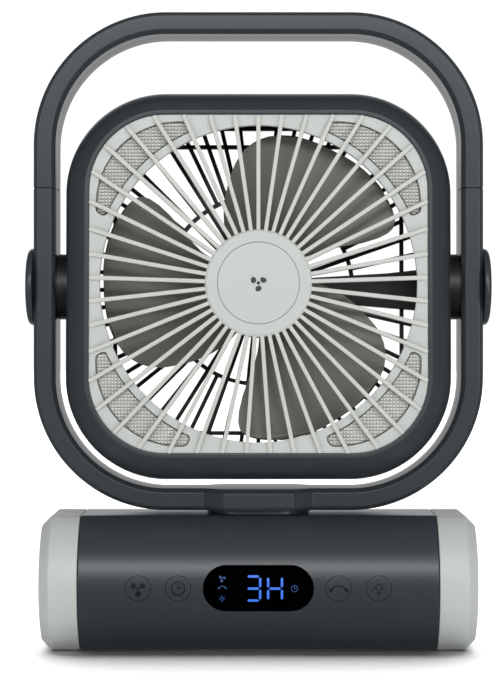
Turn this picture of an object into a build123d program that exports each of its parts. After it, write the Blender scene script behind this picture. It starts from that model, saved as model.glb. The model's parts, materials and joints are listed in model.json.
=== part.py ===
"""Rechargeable tilting fan with light, timer and swing.

Millimetres. +Z is up, the front faces -Y, and the origin is the middle of the underside of the base.
The head is drawn about its own tilt axis and set in place, leaning back a little, by HEAD_PLACE.
"""

import os
from math import acos, cos, pi, radians, sin, sqrt, tan

from build123d import *

# Base tube: a cylinder with a flat top and a flat bottom
BASE_RADIUS = 40.5
BASE_AXIS_Z = 34.5
BASE_TOP_Z = 69.7
BASE_BOTTOM_Z = 0.5
BASE_TOP_ROUND = 7.0
BASE_BOTTOM_ROUND = 1.0
BASE_WALL = 2.4
HOUSING_HALF = 92.0
BASE_HALF = 112.3
CAP_CHAMFER = 5.4
FLOOR_HALF_X = 88.7
FLOOR_HALF_Y = 19.5
FLOOR_GAP = 0.3
FLOOR_THICK = 2.2
RIB_X = 80.0
RIB_THICK = 8.0
SCREW_Y = 13.0
FOOT_X = 66.0
FOOT_Y = 14.5
FOOT_RADIUS = 4.5
FOOT_RECESS = 0.8

# Controls on the front of the base, at the height of the tube's axis
DISPLAY_LENGTH = 56.1
DISPLAY_HEIGHT = 23.3
BUTTON_X = (-61.1, -40.7, 40.7, 61.1)
BUTTON_NAMES = ("button_fan", "button_timer", "button_swing", "button_light")
BUTTON_RADIUS = 6.35
BUTTON_GAP = 0.2
BUTTON_FLANGE = 7.4
BOARD_FRONT_Y = -31.0
BOARD_THICK = 1.6

# Battery cells and charging inlet
CELL_RADIUS = 9.15
CELL_LENGTH = 65.0
CELL_Y = 10.2
CELL_Z = 16.2
CELL_START = 8.0
PORT_WIDTH = 9.0
PORT_HEIGHT = 3.2
PORT_Z = 29.4

# Swivel between base and yoke
DISC_RADIUS = 19.2
DISC_LENGTH = 53.6
DISC_BOTTOM_Z = 70.0
POST_RADIUS = 10.0
POST_BORE = 7.0
POST_BOTTOM_Z = 52.0
BUSH_RADIUS = 13.0
RUNNING = 0.06
GEAR_MODULE = 1.0
GEAR_TEETH = 40
PINION_TEETH = 16
GEAR_BOTTOM_Z = 56.0
GEAR_THICK = 5.0
PRESSURE_ANGLE = radians(20)
BACKLASH = 0.2
MOTOR_OFFSET = 8.0
PINION_X = -GEAR_MODULE * (GEAR_TEETH + PINION_TEETH) / 2

# Ring: yoke below, handle above
RING_HALF = 117.1
RING_BOTTOM_Z = 71.8
RING_TOP_Z = 331.4
RING_RADIUS = 69.1
RING_BAR = 11.4
RING_HALF_DEPTH = 15.0
RING_WALL = 2.2
OUTER_CHAMFER = 2.0
INNER_CHAMFER = 2.2
SEAM_Z = 239.6
SADDLE_HALF = 17.8
SADDLE_FOOT = 28.4
SADDLE_DEPTH = 8.0
RING_SCREWS = {"yoke": [(111.4, 160.0), (40.0, 77.5)], "handle": [(111.4, 255.5), (30.0, 325.7)]}

# Tilt pivots
PIVOT_Z = 188.5
REST_TILT = 1.8
COLLAR_RADIUS = 17.2
JOURNAL_RADIUS = 9.0
JOURNAL_BORE = 5.0
PIVOT_BUSH_RADIUS = 12.0
KNOB_RADIUS = 20.2
KNOB_INNER_X = 117.5
KNOB_OUTER_X = 121.5
KNOB_SOCKET = 2.4
WASHER_THICK = 0.3

# Head shells
HEAD_HALF = 101.4
HEAD_HALF_DEPTH = 31.0
HEAD_DRAFT = radians(5)
HEAD_ARC_DEPTH = 12.0
HEAD_ARC_RADIUS = 25.6
HEAD_WALL = 2.0
FRONT_OPENING = 87.1
REAR_OPENING = 88.0
CORNER_CENTRE = 48.0

# Front grille and lights
RIM_HALF = 86.9
RIM_FRONT_Y = -30.4
RIM_BACK_Y = -26.5
FLANGE_HALF = 88.8
AIR_RING_OUTER = 85.3
AIR_RING_BACK_Y = -18.0
FLANGE_FRONT_Y = -28.8
GRILLE_OPENING = 81.4
RIB_COUNT = 45
RIB_WIDTH = 2.1
RIB_FRONT_Y = -32.2
RIB_BACK_Y = -29.0
HUB_RADIUS = 27.5
HUB_FRONT_Y = -35.0
BADGE_RADIUS = 20.9
BADGE_RECESS = 1.2
LENS_INNER = 86.0
LENS_HALF = 83.0
LENS_RADIUS = 42.2
LENS_SPREAD = 21.0
LENS_GAP = 0.5
LENS_NAMES = ("led_lens_upper_right", "led_lens_upper_left", "led_lens_lower_left", "led_lens_lower_right")

# Rotor and motor, on an axis along Y
TIP_RADIUS = 80.8
ROTOR_HUB = 24.0
ROTOR_FRONT_Y = -22.0
ROTOR_BACK_Y = -3.0
BLADE_COUNT = 3
BLADE_THICK = 1.7
BLADE_FRONT_Y = -20.5
BLADE_RISE = 17.0
SHAFT_RADIUS = 1.5
MOTOR_RADIUS = 17.5
MOTOR_FRONT_Y = 4.5
MOTOR_BACK_Y = 26.0

# Rear grille
BAR_COUNT = 56
BAR_WIDTH = 2.2
BAR_FRONT_Y = 25.5
BAR_BACK_Y = 28.5
INNER_RING = 51.0
SQUARE_RING = 77.5
RING_BAR_HALF = 1.1
FRAME_OUTER = 89.0
FRAME_INNER = 86.4
CUP_RADIUS = 19.2
DUCT_FRONT_Y = 21.0
PILLAR_XZ = 74.0


HEAD_PLACE = Pos(0, 0, PIVOT_Z) * Rot(-REST_TILT, 0, 0)


def slab(outline, front, back):
    """Front-view outline, X across and Z up, made solid from depth front to depth back."""
    return extrude(Plane.XZ.offset(-back) * outline, amount=back - front)


def rod_x(radius, start, end, y=0.0, z=0.0):
    """Cylinder along X."""
    return Pos((start + end) / 2, y, z) * Rot(0, 90, 0) * Cylinder(radius, end - start)


def rod_z(radius, bottom, top, x=0.0, y=0.0):
    """Upright cylinder."""
    return Pos(x, y, (bottom + top) / 2) * Cylinder(radius, top - bottom)


def block(x0, x1, y0, y1, z0, z1):
    """Box between limits."""
    return Pos((x0 + x1) / 2, (y0 + y1) / 2, (z0 + z1) / 2) * Box(x1 - x0, y1 - y0, z1 - z0)


def rounded_square(half, radius):
    return RectangleRounded(2 * half, 2 * half, radius)


def group(pieces):
    """Separate solids kept together in one node."""
    return Compound(children=[solid for piece in pieces for solid in piece.solids()])


def front_edges(shape):
    return shape.faces().sort_by(Axis.Y)[0].edges()


# ---- base ----


def base_section(inset):
    """Section of the base tube, Y across and Z up, drawn inside its outer face."""
    radius = BASE_RADIUS - inset
    top = BASE_TOP_Z - BASE_AXIS_Z - inset
    bottom = BASE_BOTTOM_Z - BASE_AXIS_Z + inset
    flats = Pos(0, (top + bottom) / 2) * Rectangle(3 * radius, top - bottom)
    section = Circle(radius) & flats
    middle = (top + bottom) / 2
    section = fillet(section.vertices().filter_by(lambda v: v.Y > middle), BASE_TOP_ROUND)
    return fillet(section.vertices().filter_by(lambda v: v.Y < middle), BASE_BOTTOM_ROUND)


def base_bar(inset, x0, x1):
    """Length of the base tube's section from x0 to x1."""
    return extrude(Plane.YZ.offset(x0) * Pos(0, BASE_AXIS_Z) * base_section(inset), amount=x1 - x0)


def base_end(inset):
    """End of the tube with its chamfered rim, drawn inside the outer face."""
    start = BASE_HALF - CAP_CHAMFER
    rings = [Plane.YZ.offset(x) * Pos(0, BASE_AXIS_Z) * base_section(depth)
             for x, depth in ((start - inset, inset), (BASE_HALF - inset, inset + CAP_CHAMFER))]
    return base_bar(inset, HOUSING_HALF, start - inset) + loft(rings, ruled=True)


def display_outline(grow=0.0):
    return SlotOverall(DISPLAY_LENGTH + 2 * grow, DISPLAY_HEIGHT + 2 * grow)


def base_housing():
    body = base_bar(0, -HOUSING_HALF, HOUSING_HALF) - base_bar(BASE_WALL, -HOUSING_HALF, HOUSING_HALF)
    half_x = FLOOR_HALF_X + FLOOR_GAP
    half_y = FLOOR_HALF_Y + FLOOR_GAP
    rib_top = BASE_BOTTOM_Z + 10
    rib_bottom = BASE_BOTTOM_Z + FLOOR_THICK + FLOOR_GAP
    inner = base_bar(BASE_WALL - 0.2, -HOUSING_HALF, HOUSING_HALF)
    for side in (-1, 1):
        x = side * RIB_X
        body += block(x - RIB_THICK / 2, x + RIB_THICK / 2, -40, 40, rib_bottom, rib_top) & inner
    body -= block(-half_x, half_x, -half_y, half_y, 0, rib_bottom)
    for x in (-RIB_X, RIB_X):
        for y in (-SCREW_Y, SCREW_Y):
            body -= rod_z(1.3, 0, rib_top, x, y)
    body -= rod_z(BUSH_RADIUS, BASE_TOP_Z - 5, BASE_TOP_Z + 5)
    body -= slab(Pos(0, BASE_AXIS_Z) * display_outline(0.1), -45, -30)
    for x in BUTTON_X:
        body -= slab(Pos(x, BASE_AXIS_Z) * Circle(BUTTON_RADIUS + BUTTON_GAP), -45, -30)
    port = Pos(0, PORT_Z) * SlotOverall(PORT_WIDTH + 0.5, PORT_HEIGHT + 0.5)
    return body - slab(port, 30, 45)


def base_floor():
    plate = block(-FLOOR_HALF_X, FLOOR_HALF_X, -FLOOR_HALF_Y, FLOOR_HALF_Y, BASE_BOTTOM_Z,
                  BASE_BOTTOM_Z + FLOOR_THICK)
    for x in (-RIB_X, RIB_X):
        for y in (-SCREW_Y, SCREW_Y):
            plate -= rod_z(1.7, 0, 10, x, y)
            plate -= rod_z(3.0, 0, BASE_BOTTOM_Z + 1.2, x, y)
    for x in (-FOOT_X, FOOT_X):
        for y in (-FOOT_Y, FOOT_Y):
            plate -= rod_z(FOOT_RADIUS, 0, BASE_BOTTOM_Z + FOOT_RECESS, x, y)
    return plate


def base_feet():
    top = BASE_BOTTOM_Z + FOOT_RECESS
    return group([rod_z(FOOT_RADIUS, 0, top, x, y) for x in (-FOOT_X, FOOT_X) for y in (-FOOT_Y, FOOT_Y)])


def base_screws():
    """Floor screws, heads sunk in the cover."""
    screws = []
    for x in (-RIB_X, RIB_X):
        for y in (-SCREW_Y, SCREW_Y):
            head = rod_z(2.7, BASE_BOTTOM_Z + 0.1, BASE_BOTTOM_Z + 1.2, x, y)
            screws.append(head + rod_z(1.3, BASE_BOTTOM_Z + 1.2, BASE_BOTTOM_Z + 9, x, y))
    return group(screws)


def base_cap():
    """Right end cap: chamfered end wall, and a tongue inside the housing."""
    tongue_start = FLOOR_HALF_X + FLOOR_GAP
    tongue = base_bar(BASE_WALL + 0.1, tongue_start, HOUSING_HALF) - base_bar(4.2, tongue_start, HOUSING_HALF)
    seat = base_bar(BASE_WALL - 0.2, HOUSING_HALF, HOUSING_HALF + 2) - base_bar(4.2, HOUSING_HALF, HOUSING_HALF + 2)
    return base_end(0) - base_end(BASE_WALL) + seat + tongue


def display_window():
    """Curved window flush with the tube."""
    wall = base_bar(0, -50, 50) - base_bar(BASE_WALL, -50, 50)
    return wall & slab(Pos(0, BASE_AXIS_Z) * display_outline(), -45, -30)


def display_module():
    """Digit block between the board and the window."""
    return block(-24, 24, -36.6, BOARD_FRONT_Y, BASE_AXIS_Z - 8, BASE_AXIS_Z + 8)


def control_board():
    return block(-72, 72, BOARD_FRONT_Y, BOARD_FRONT_Y + BOARD_THICK, BASE_AXIS_Z - 13, BASE_AXIS_Z + 13)


def tact_switches():
    switches = []
    for x in BUTTON_X:
        case = block(x - 3, x + 3, BOARD_FRONT_Y - 3.4, BOARD_FRONT_Y, BASE_AXIS_Z - 3, BASE_AXIS_Z + 3)
        switches.append(case + slab(Pos(x, BASE_AXIS_Z) * Circle(1.7), BOARD_FRONT_Y - 4.2, BOARD_FRONT_Y - 3.4))
    return group(switches)


def button(x):
    """Round key, curved to the tube's face, with a flange and a stem behind the wall."""
    key = slab(Pos(x, BASE_AXIS_Z) * Circle(BUTTON_RADIUS), -45, -36.6) & base_bar(0, x - 10, x + 10)
    flange = slab(Pos(x, BASE_AXIS_Z) * Circle(BUTTON_FLANGE), -37.1, -36.4)
    return key + flange + slab(Pos(x, BASE_AXIS_Z) * Circle(2.2), -37, -36.1)


def cell_places():
    return [(start, y) for start in (CELL_START, -CELL_START - CELL_LENGTH) for y in (-CELL_Y, CELL_Y)]


def battery_cells():
    return group([rod_x(CELL_RADIUS, x, x + CELL_LENGTH, y, CELL_Z) for x, y in cell_places()])


def battery_cradle():
    """Tray that the four cells lie in."""
    length = CELL_START + CELL_LENGTH + 2
    tray = block(-length, length, -22, 22, 4.0, 13.0) & base_bar(BASE_WALL + 0.3, -100, 100)
    for x, y in cell_places():
        tray -= rod_x(CELL_RADIUS + 0.1, x - 0.1, x + CELL_LENGTH + 0.1, y, CELL_Z)
    return tray


def charge_port():
    """Charging inlet: oval metal sleeve with a contact tongue."""
    outline = Pos(0, PORT_Z) * SlotOverall(PORT_WIDTH, PORT_HEIGHT)
    hole = Pos(0, PORT_Z) * SlotOverall(PORT_WIDTH - 0.6, PORT_HEIGHT - 0.6)
    tongue = Pos(0, PORT_Z) * Rectangle(6.2, 0.7)
    return slab(outline, 32.6, 40.0) - slab(hole, 33.6, 41.0) + slab(tongue, 33.0, 39.0)


def power_board():
    top = PORT_Z - PORT_HEIGHT / 2
    return block(-18, 18, 14, 36.2, top - BOARD_THICK, top)


def swivel_bush():
    """Plain bearing for the post, with a flange under the housing's top."""
    body = rod_z(BUSH_RADIUS, BASE_TOP_Z - 5.4, BASE_TOP_Z)
    body += rod_z(BUSH_RADIUS + 3, BASE_TOP_Z - BASE_WALL - 1.6, BASE_TOP_Z - BASE_WALL)
    return body - rod_z(POST_RADIUS + RUNNING, 40, 80)


def gear_outline(teeth):
    """Involute gear, its first tooth on the +X axis."""
    pitch = GEAR_MODULE * teeth / 2
    base = pitch * cos(PRESSURE_ANGLE)
    tip = pitch + 0.9 * GEAR_MODULE
    root = pitch - 1.2 * GEAR_MODULE
    half_tooth = pi / (2 * teeth) - BACKLASH / (2 * pitch)
    start = half_tooth + tan(PRESSURE_ANGLE) - PRESSURE_ANGLE

    def flank(radius):
        angle = acos(min(1.0, base / radius))
        return start - (tan(angle) - angle)

    low = max(base, root)
    radii = [low + (tip - low) * i / 4 for i in range(5)]
    side = [(root, flank(low))] + [(r, flank(r)) for r in radii]
    if low == root:
        side = side[1:]
    points = []
    for tooth in range(teeth):
        centre = 2 * pi * tooth / teeth
        for radius, angle in side:
            points.append((radius * cos(centre - angle), radius * sin(centre - angle)))
        for radius, angle in reversed(side):
            points.append((radius * cos(centre + angle), radius * sin(centre + angle)))
    return make_face(Polyline(points, close=True))


def swing_gear():
    """Gear on the post. A tooth points at the pinion."""
    gear = extrude(Pos(0, 0, GEAR_BOTTOM_Z) * Rot(0, 0, 180) * gear_outline(GEAR_TEETH), amount=GEAR_THICK)
    return gear - rod_z(POST_RADIUS, 50, 70)


def swing_pinion():
    """Pinion with a tooth space turned to the gear."""
    turn = Rot(0, 0, 180 / PINION_TEETH)
    pinion = extrude(Pos(PINION_X, 0, GEAR_BOTTOM_Z - 0.5) * turn * gear_outline(PINION_TEETH), amount=6.0)
    return pinion - rod_z(2.5 + RUNNING, 50, GEAR_BOTTOM_Z + 4, PINION_X)


def swing_motor():
    """Geared motor with an offset shaft and two mounting ears."""
    centre = PINION_X - MOTOR_OFFSET
    top = GEAR_BOTTOM_Z - 3.0
    can = rod_z(14, top - 19, top, centre) + rod_z(4.5, top, top + 1.5, PINION_X)
    ears = block(centre - 3.5, centre + 3.5, -21, 21, top - 1, top)
    for y in (-17.5, 17.5):
        ears -= rod_z(2.1, top - 5, top + 5, centre, y)
    return can + ears + rod_z(2.5, top, GEAR_BOTTOM_Z + 3.5, PINION_X)


# ---- ring: yoke and handle ----


def ring_outline(inset):
    height = RING_TOP_Z - RING_BOTTOM_Z - 2 * inset
    outline = RectangleRounded(2 * (RING_HALF - inset), height, RING_RADIUS - inset)
    return Pos(0, (RING_TOP_Z + RING_BOTTOM_Z) / 2) * outline


def saddle():
    """Front half of the thicker middle at the bottom of the yoke, chamfered like the bar."""
    y = -RING_HALF_DEPTH
    points = [(-SADDLE_FOOT, y), (-SADDLE_HALF, y - SADDLE_DEPTH), (SADDLE_HALF, y - SADDLE_DEPTH), (SADDLE_FOOT, y)]
    points += [(SADDLE_FOOT, y + OUTER_CHAMFER), (-SADDLE_FOOT, y + OUTER_CHAMFER)]
    face = make_face(Polyline(points, close=True))
    body = extrude(Pos(0, 0, RING_BOTTOM_Z) * face, amount=RING_BAR)
    edges = [e for e in body.edges() if e.center().Y < y - 0.1 and abs(e.tangent_at(0.5).Z) < 0.5]
    return chamfer(edges, OUTER_CHAMFER)


def screw_places(part):
    return [(side * x, z) for x, z in RING_SCREWS[part] for side in (-1, 1)]


def ring_half():
    """Front half of the whole ring: an open channel with screw bosses."""
    bar = slab(ring_outline(0), -RING_HALF_DEPTH, 0)
    bar = chamfer(front_edges(bar), OUTER_CHAMFER)
    hole = slab(ring_outline(RING_BAR), -RING_HALF_DEPTH, 0)
    flare = slab(ring_outline(RING_BAR - INNER_CHAMFER), -RING_HALF_DEPTH, -RING_HALF_DEPTH + INNER_CHAMFER)
    flare = chamfer(flare.faces().sort_by(Axis.Y)[-1].edges(), INNER_CHAMFER * 0.999)
    bar = bar - hole - flare + saddle()
    depth = RING_HALF_DEPTH - RING_WALL - 0.2
    channel = slab(ring_outline(RING_WALL), -depth, 0) - slab(ring_outline(RING_BAR - RING_WALL), -depth, 0)
    boss = [slab(Pos(x, z) * Rectangle(9, 9), -depth, 0) for part in RING_SCREWS for x, z in screw_places(part)]
    return bar - (channel - boss)


def pivot_hole():
    return rod_x(PIVOT_BUSH_RADIUS, -RING_HALF - 1, RING_HALF + 1, 0, PIVOT_Z)


def ring_shells():
    """Yoke and handle, each as a front and a rear shell. The screws come from behind."""
    front = ring_half() - pivot_hole()
    front -= rod_z(POST_RADIUS, 60, RING_BOTTOM_Z + 6)
    rear = Rot(0, 0, 180) * front
    for part in RING_SCREWS:
        for x, z in screw_places(part):
            front -= slab(Pos(x, z) * Circle(1.3), -9, 1)
            rear -= slab(Pos(x, z) * Circle(1.6), -1, 20)
            rear -= slab(Pos(x, z) * Circle(2.9), 8, 20)
    low = block(-130, 130, -30, 30, 60, SEAM_Z)
    high = block(-130, 130, -30, 30, SEAM_Z, 340)
    return {
        "yoke_front_shell": front & low,
        "yoke_rear_shell": rear & low,
        "handle_front_shell": front & high,
        "handle_rear_shell": rear & high,
    }


def ring_screws():
    screws = []
    for part in RING_SCREWS:
        for x, z in screw_places(part):
            screws.append(slab(Pos(x, z) * Circle(2.7), 8, 10) + slab(Pos(x, z) * Circle(1.3), -8.5, 8))
    return group(screws)


def handle_tongues():
    """Bars inside the channel that bridge the seam on each side."""
    width = RING_BAR - 2 * RING_WALL - 0.3
    x = RING_HALF - RING_BAR / 2
    return group([block(s * x - width / 2, s * x + width / 2, -12, 12, SEAM_Z - 11, SEAM_Z + 10.5) for s in (-1, 1)])


def swivel_disc():
    """Long spacer between the yoke's saddle and the base's flat top."""
    outline = Pos(0, 0, DISC_BOTTOM_Z) * SlotOverall(DISC_LENGTH, 2 * DISC_RADIUS)
    return extrude(outline, amount=RING_BOTTOM_Z - DISC_BOTTOM_Z) - rod_z(POST_RADIUS, 60, 80)


def swivel_post():
    """Hollow post that carries the ring. Its flange lies on the yoke's bottom wall."""
    post = rod_z(POST_RADIUS, POST_BOTTOM_Z, RING_BOTTOM_Z + RING_WALL + 0.2)
    post += rod_z(POST_RADIUS + 2.3, RING_BOTTOM_Z + RING_WALL, RING_BOTTOM_Z + RING_WALL + 2)
    groove = rod_z(POST_RADIUS, POST_BOTTOM_Z + 1.2, POST_BOTTOM_Z + 2.4)
    groove -= rod_z(POST_RADIUS - 0.8, POST_BOTTOM_Z, POST_BOTTOM_Z + 4)
    return post - rod_z(POST_BORE, 40, 90) - groove


def swivel_retainer():
    """Spring clip in the post's groove, open at the back."""
    ring = rod_z(POST_RADIUS + 2.2, POST_BOTTOM_Z + 1.25, POST_BOTTOM_Z + 2.35)
    ring -= rod_z(POST_RADIUS - 0.75, 40, 80)
    return ring - block(-4, 4, 0, 20, 40, 80)


def pivot_bush():
    """Right-hand nylon bush in the yoke."""
    inner_x = RING_HALF - RING_BAR
    return rod_x(PIVOT_BUSH_RADIUS, inner_x, RING_HALF, 0, PIVOT_Z) - rod_x(JOURNAL_RADIUS + RUNNING, 90, 130, 0, PIVOT_Z)


def friction_washers():
    face = RING_HALF - RING_BAR
    washer = rod_x(COLLAR_RADIUS - 0.8, face - WASHER_THICK, face, 0, PIVOT_Z)
    washer -= rod_x(JOURNAL_RADIUS + 0.3, 90, 130, 0, PIVOT_Z)
    return group([washer, Rot(0, 0, 180) * washer])


# ---- head, drawn about its own centre ----


def pivot_shaft():
    """Right-hand pivot: flange inside the head, collar outside it, hollow journal through the yoke."""
    flange_x = HEAD_HALF - HEAD_WALL - 1.4
    shaft = rod_x(14, flange_x - 2.4, flange_x) + rod_x(JOURNAL_RADIUS, flange_x - 0.2, KNOB_INNER_X + KNOB_SOCKET)
    collar = rod_x(COLLAR_RADIUS, HEAD_HALF - 3, RING_HALF - RING_BAR - WASHER_THICK - 0.1)
    for turn in (0, 180):
        collar -= Rot(turn, 0, 0) * extrude(Pos(0, 0, -25) * head_side(-0.1), amount=50, dir=(0, 0, 1))
    return shaft + collar - rod_x(JOURNAL_BORE, 80, 130)


def tilt_knob():
    """Right-hand domed cap pressed on the journal."""
    knob = rod_x(KNOB_RADIUS, KNOB_INNER_X, KNOB_OUTER_X)
    knob = fillet(knob.faces().sort_by(Axis.X)[-1].edges(), 2.6)
    return knob - rod_x(JOURNAL_RADIUS, KNOB_INNER_X - 1, KNOB_INNER_X + KNOB_SOCKET)


def head_arc(inset, depth):
    """Point at a depth on the head's rounded side, drawn inside its outer face."""
    outer_x = HEAD_HALF - HEAD_ARC_DEPTH * tan(HEAD_DRAFT)
    centre_x = outer_x - HEAD_ARC_RADIUS * cos(HEAD_DRAFT)
    centre_y = -HEAD_ARC_DEPTH + HEAD_ARC_RADIUS * sin(HEAD_DRAFT)
    radius = HEAD_ARC_RADIUS - inset
    if depth is None:
        return centre_x + radius * cos(HEAD_DRAFT), centre_y - radius * sin(HEAD_DRAFT)
    return centre_x + sqrt(radius ** 2 - (depth - centre_y) ** 2), depth


def head_edge(inset, front):
    """Line of the head's right-hand side from the joint plane forwards: a straight draft, then an arc."""
    start = (HEAD_HALF - inset / cos(HEAD_DRAFT), 0)
    tangent = head_arc(inset, None)
    middle = head_arc(inset, (tangent[1] + front) / 2)
    end = head_arc(inset, front)
    return [Line(start, tangent), ThreePointArc(tangent, middle, end)]


def head_side(inset):
    """Front half of the head's section near its right-hand side, filled."""
    edge = head_edge(inset, -24.0)
    start, end = edge[0] @ 0, edge[1] @ 1
    return make_face(edge + [Polyline(end, (80, end.Y), (80, 0), start)])


def round_head(face):
    """Carries a section of the right-hand side all the way round the head."""
    side = extrude(Pos(0, 0, -CORNER_CENTRE) * face, amount=2 * CORNER_CENTRE, dir=(0, 0, 1))
    corner = revolve(Pos(0, 0, CORNER_CENTRE) * face,
                     Axis((CORNER_CENTRE, 0, CORNER_CENTRE), (0, -1, 0)), revolution_arc=90)
    quarter = side + corner
    return quarter + [Rot(0, 90 * i, 0) * quarter for i in range(1, 4)]


def head_half_shell(opening):
    """Shell from the joint plane forwards, open at the front, with a flat lip round the opening."""
    front = -HEAD_HALF_DEPTH
    outer = head_edge(0, front)
    inner = head_edge(HEAD_WALL, front + HEAD_WALL)
    lip = Polyline(outer[1] @ 1, (opening, front), (opening, front + HEAD_WALL), inner[1] @ 1)
    wall = make_face(outer + inner + [lip, Line(inner[0] @ 0, outer[0] @ 0)])
    return round_head(wall) - rod_x(JOURNAL_RADIUS + 0.1, -110, 110)


def head_front_frame():
    return head_half_shell(FRONT_OPENING)


def head_rear_shell():
    """Rear shell, with a tongue that locates in the front frame."""
    wall_half = HEAD_HALF - HEAD_WALL
    outer = wall_half - 0.4
    inner = wall_half - 2.0
    tongue = slab(rounded_square(outer, outer - CORNER_CENTRE), -3, 4)
    tongue += slab(rounded_square(wall_half + 0.2, wall_half + 0.2 - CORNER_CENTRE), 0.5, 4)
    tongue -= slab(rounded_square(inner, inner - CORNER_CENTRE), -5, 5)
    tongue -= block(-110, 110, -16, 16, -16, 16)
    return Rot(0, 0, 180) * head_half_shell(REAR_OPENING) + tongue


def lens_outline(quarter, grow=0.0):
    """Corner light: between the air opening and the rim's corner, with rounded ends."""
    shape = rounded_square(LENS_HALF + grow, LENS_RADIUS + grow) - Circle(LENS_INNER - grow)
    spread = radians(LENS_SPREAD) + grow / LENS_INNER
    reach = 3 * LENS_HALF
    wedge = make_face(Polyline((0, 0), (reach * cos(spread), reach * sin(spread)),
                               (reach * cos(spread), -reach * sin(spread)), close=True))
    corner = shape & Rot(0, 0, 45) * wedge
    ends = corner.vertices().filter_by(lambda v: abs(v.X - v.Y) > 0.97 * tan(spread) * (v.X + v.Y))
    corner = fillet(ends, 1.6 + max(grow, 0) * 0.4)
    return Rot(0, 0, 90 * quarter) * corner


def front_grille():
    """Rim plate, air opening, radial ribs standing over the rim, and hub disc."""
    rim = slab(rounded_square(RIM_HALF, RIM_HALF - CORNER_CENTRE), RIM_FRONT_Y, FLANGE_FRONT_Y)
    rim += slab(rounded_square(FLANGE_HALF, FLANGE_HALF - CORNER_CENTRE), FLANGE_FRONT_Y, RIM_BACK_Y)
    rim -= slab(Circle(GRILLE_OPENING), -40, 0)
    for quarter in range(4):
        rim -= slab(lens_outline(quarter, LENS_GAP), -40, 0)
    ribs = []
    for i in range(RIB_COUNT):
        angle = 90 + 360 / RIB_COUNT * i
        ribs.append(slab(Rot(0, 0, angle) * Pos(75, 0) * Rectangle(110, RIB_WIDTH), RIB_FRONT_Y, RIB_BACK_Y))
    hub = fillet(front_edges(slab(Circle(HUB_RADIUS), HUB_FRONT_Y, RIB_BACK_Y)), 1.6)
    limit = slab(rounded_square(RIM_HALF, RIM_HALF - CORNER_CENTRE), -40, 0)
    star = (hub + ribs) & limit
    return rim + star - slab(Circle(BADGE_RADIUS + 0.15), -40, HUB_FRONT_Y + BADGE_RECESS)


def hub_badge():
    """Plain round badge in the hub's recess."""
    return slab(Circle(BADGE_RADIUS), HUB_FRONT_Y - 0.1, HUB_FRONT_Y + BADGE_RECESS)


def led_lens(quarter):
    """Clear lens in the rim's cut-out, with a flange behind the rim."""
    lens = slab(lens_outline(quarter), RIB_BACK_Y + 0.2, RIM_BACK_Y + 0.1)
    return lens + slab(lens_outline(quarter, 1.3), RIM_BACK_Y + 0.1, RIM_BACK_Y + 1.3)


def led_boards():
    return group([slab(lens_outline(q, -0.3), -23.6, -22.0) for q in range(4)])


def air_ring():
    """Short duct round the blade tips."""
    return slab(Circle(AIR_RING_OUTER) - Circle(AIR_RING_OUTER - 1.3), RIM_BACK_Y + 1.6, AIR_RING_BACK_Y)


def head_pillars():
    """Posts between the front and the rear grille, in the corners."""
    pillars = []
    for x in (-PILLAR_XZ, PILLAR_XZ):
        for z in (-PILLAR_XZ, PILLAR_XZ):
            pillar = slab(Pos(x, z) * Circle(3.0), RIM_BACK_Y + 0.1, BAR_FRONT_Y)
            pillars.append(pillar - slab(Pos(x, z) * Circle(1.2), BAR_FRONT_Y - 7, BAR_FRONT_Y + 1))
    return group(pillars)


def head_screws():
    screws = []
    for x in (-PILLAR_XZ, PILLAR_XZ):
        for z in (-PILLAR_XZ, PILLAR_XZ):
            screws.append(slab(Pos(x, z) * Circle(1.2), BAR_FRONT_Y - 6.5, BAR_BACK_Y)
                          + slab(Pos(x, z) * Circle(2.6), BAR_BACK_Y, BAR_BACK_Y + 1.6))
    return group(screws)


def duct_outline(inset):
    """Cable duct from the motor to the right-hand pivot, widening outwards."""
    points = [(16.0, 5.5 - inset), (REAR_OPENING - inset, 9.8 - inset),
              (REAR_OPENING - inset, -11.6 + inset), (16.0, -5.5 + inset)]
    return make_face(Polyline(points, close=True))


def head_ring(outer, inner):
    """Flat ring round the head's section, concentric with its corners."""
    outline = rounded_square(outer, outer - CORNER_CENTRE) - rounded_square(inner, inner - CORNER_CENTRE)
    return slab(outline, BAR_FRONT_Y, BAR_BACK_Y)


def rear_grille():
    """Radial bars, every other one ending at the inner ring, with a square ring, motor cup and duct."""
    bars = []
    for i in range(BAR_COUNT):
        start = 22 if i % 2 else INNER_RING
        bar = Pos((start + 125) / 2, 0) * Rectangle(125 - start, BAR_WIDTH)
        bars.append(slab(Rot(0, 0, 360 / BAR_COUNT * i) * bar, BAR_FRONT_Y, BAR_BACK_Y))
    limit = slab(rounded_square(FRAME_INNER + 1, FRAME_INNER + 1 - CORNER_CENTRE), BAR_FRONT_Y, BAR_BACK_Y)
    rings = slab(Circle(INNER_RING + RING_BAR_HALF) - Circle(INNER_RING - RING_BAR_HALF), BAR_FRONT_Y, BAR_BACK_Y)
    disc = slab(Circle(26), BAR_BACK_Y - 2, BAR_BACK_Y)
    grille = (disc + bars) & (limit + disc)
    grille += rings
    grille += head_ring(SQUARE_RING + RING_BAR_HALF, SQUARE_RING - RING_BAR_HALF)
    grille += head_ring(FRAME_OUTER, FRAME_INNER)
    grille += slab(Circle(CUP_RADIUS), 12, BAR_BACK_Y)
    for x in (-PILLAR_XZ, PILLAR_XZ):
        for z in (-PILLAR_XZ, PILLAR_XZ):
            grille += slab(Pos(x, z) * Circle(4.2), BAR_FRONT_Y, BAR_BACK_Y)
            grille -= slab(Pos(x, z) * Circle(1.5), 20, 40)
    grille += slab(duct_outline(0), DUCT_FRONT_Y + 1.6, BAR_BACK_Y)
    grille -= slab(duct_outline(1.5), DUCT_FRONT_Y, BAR_BACK_Y - 1.6)
    return grille - slab(Circle(MOTOR_RADIUS + 0.1), 0, MOTOR_BACK_Y)


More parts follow.
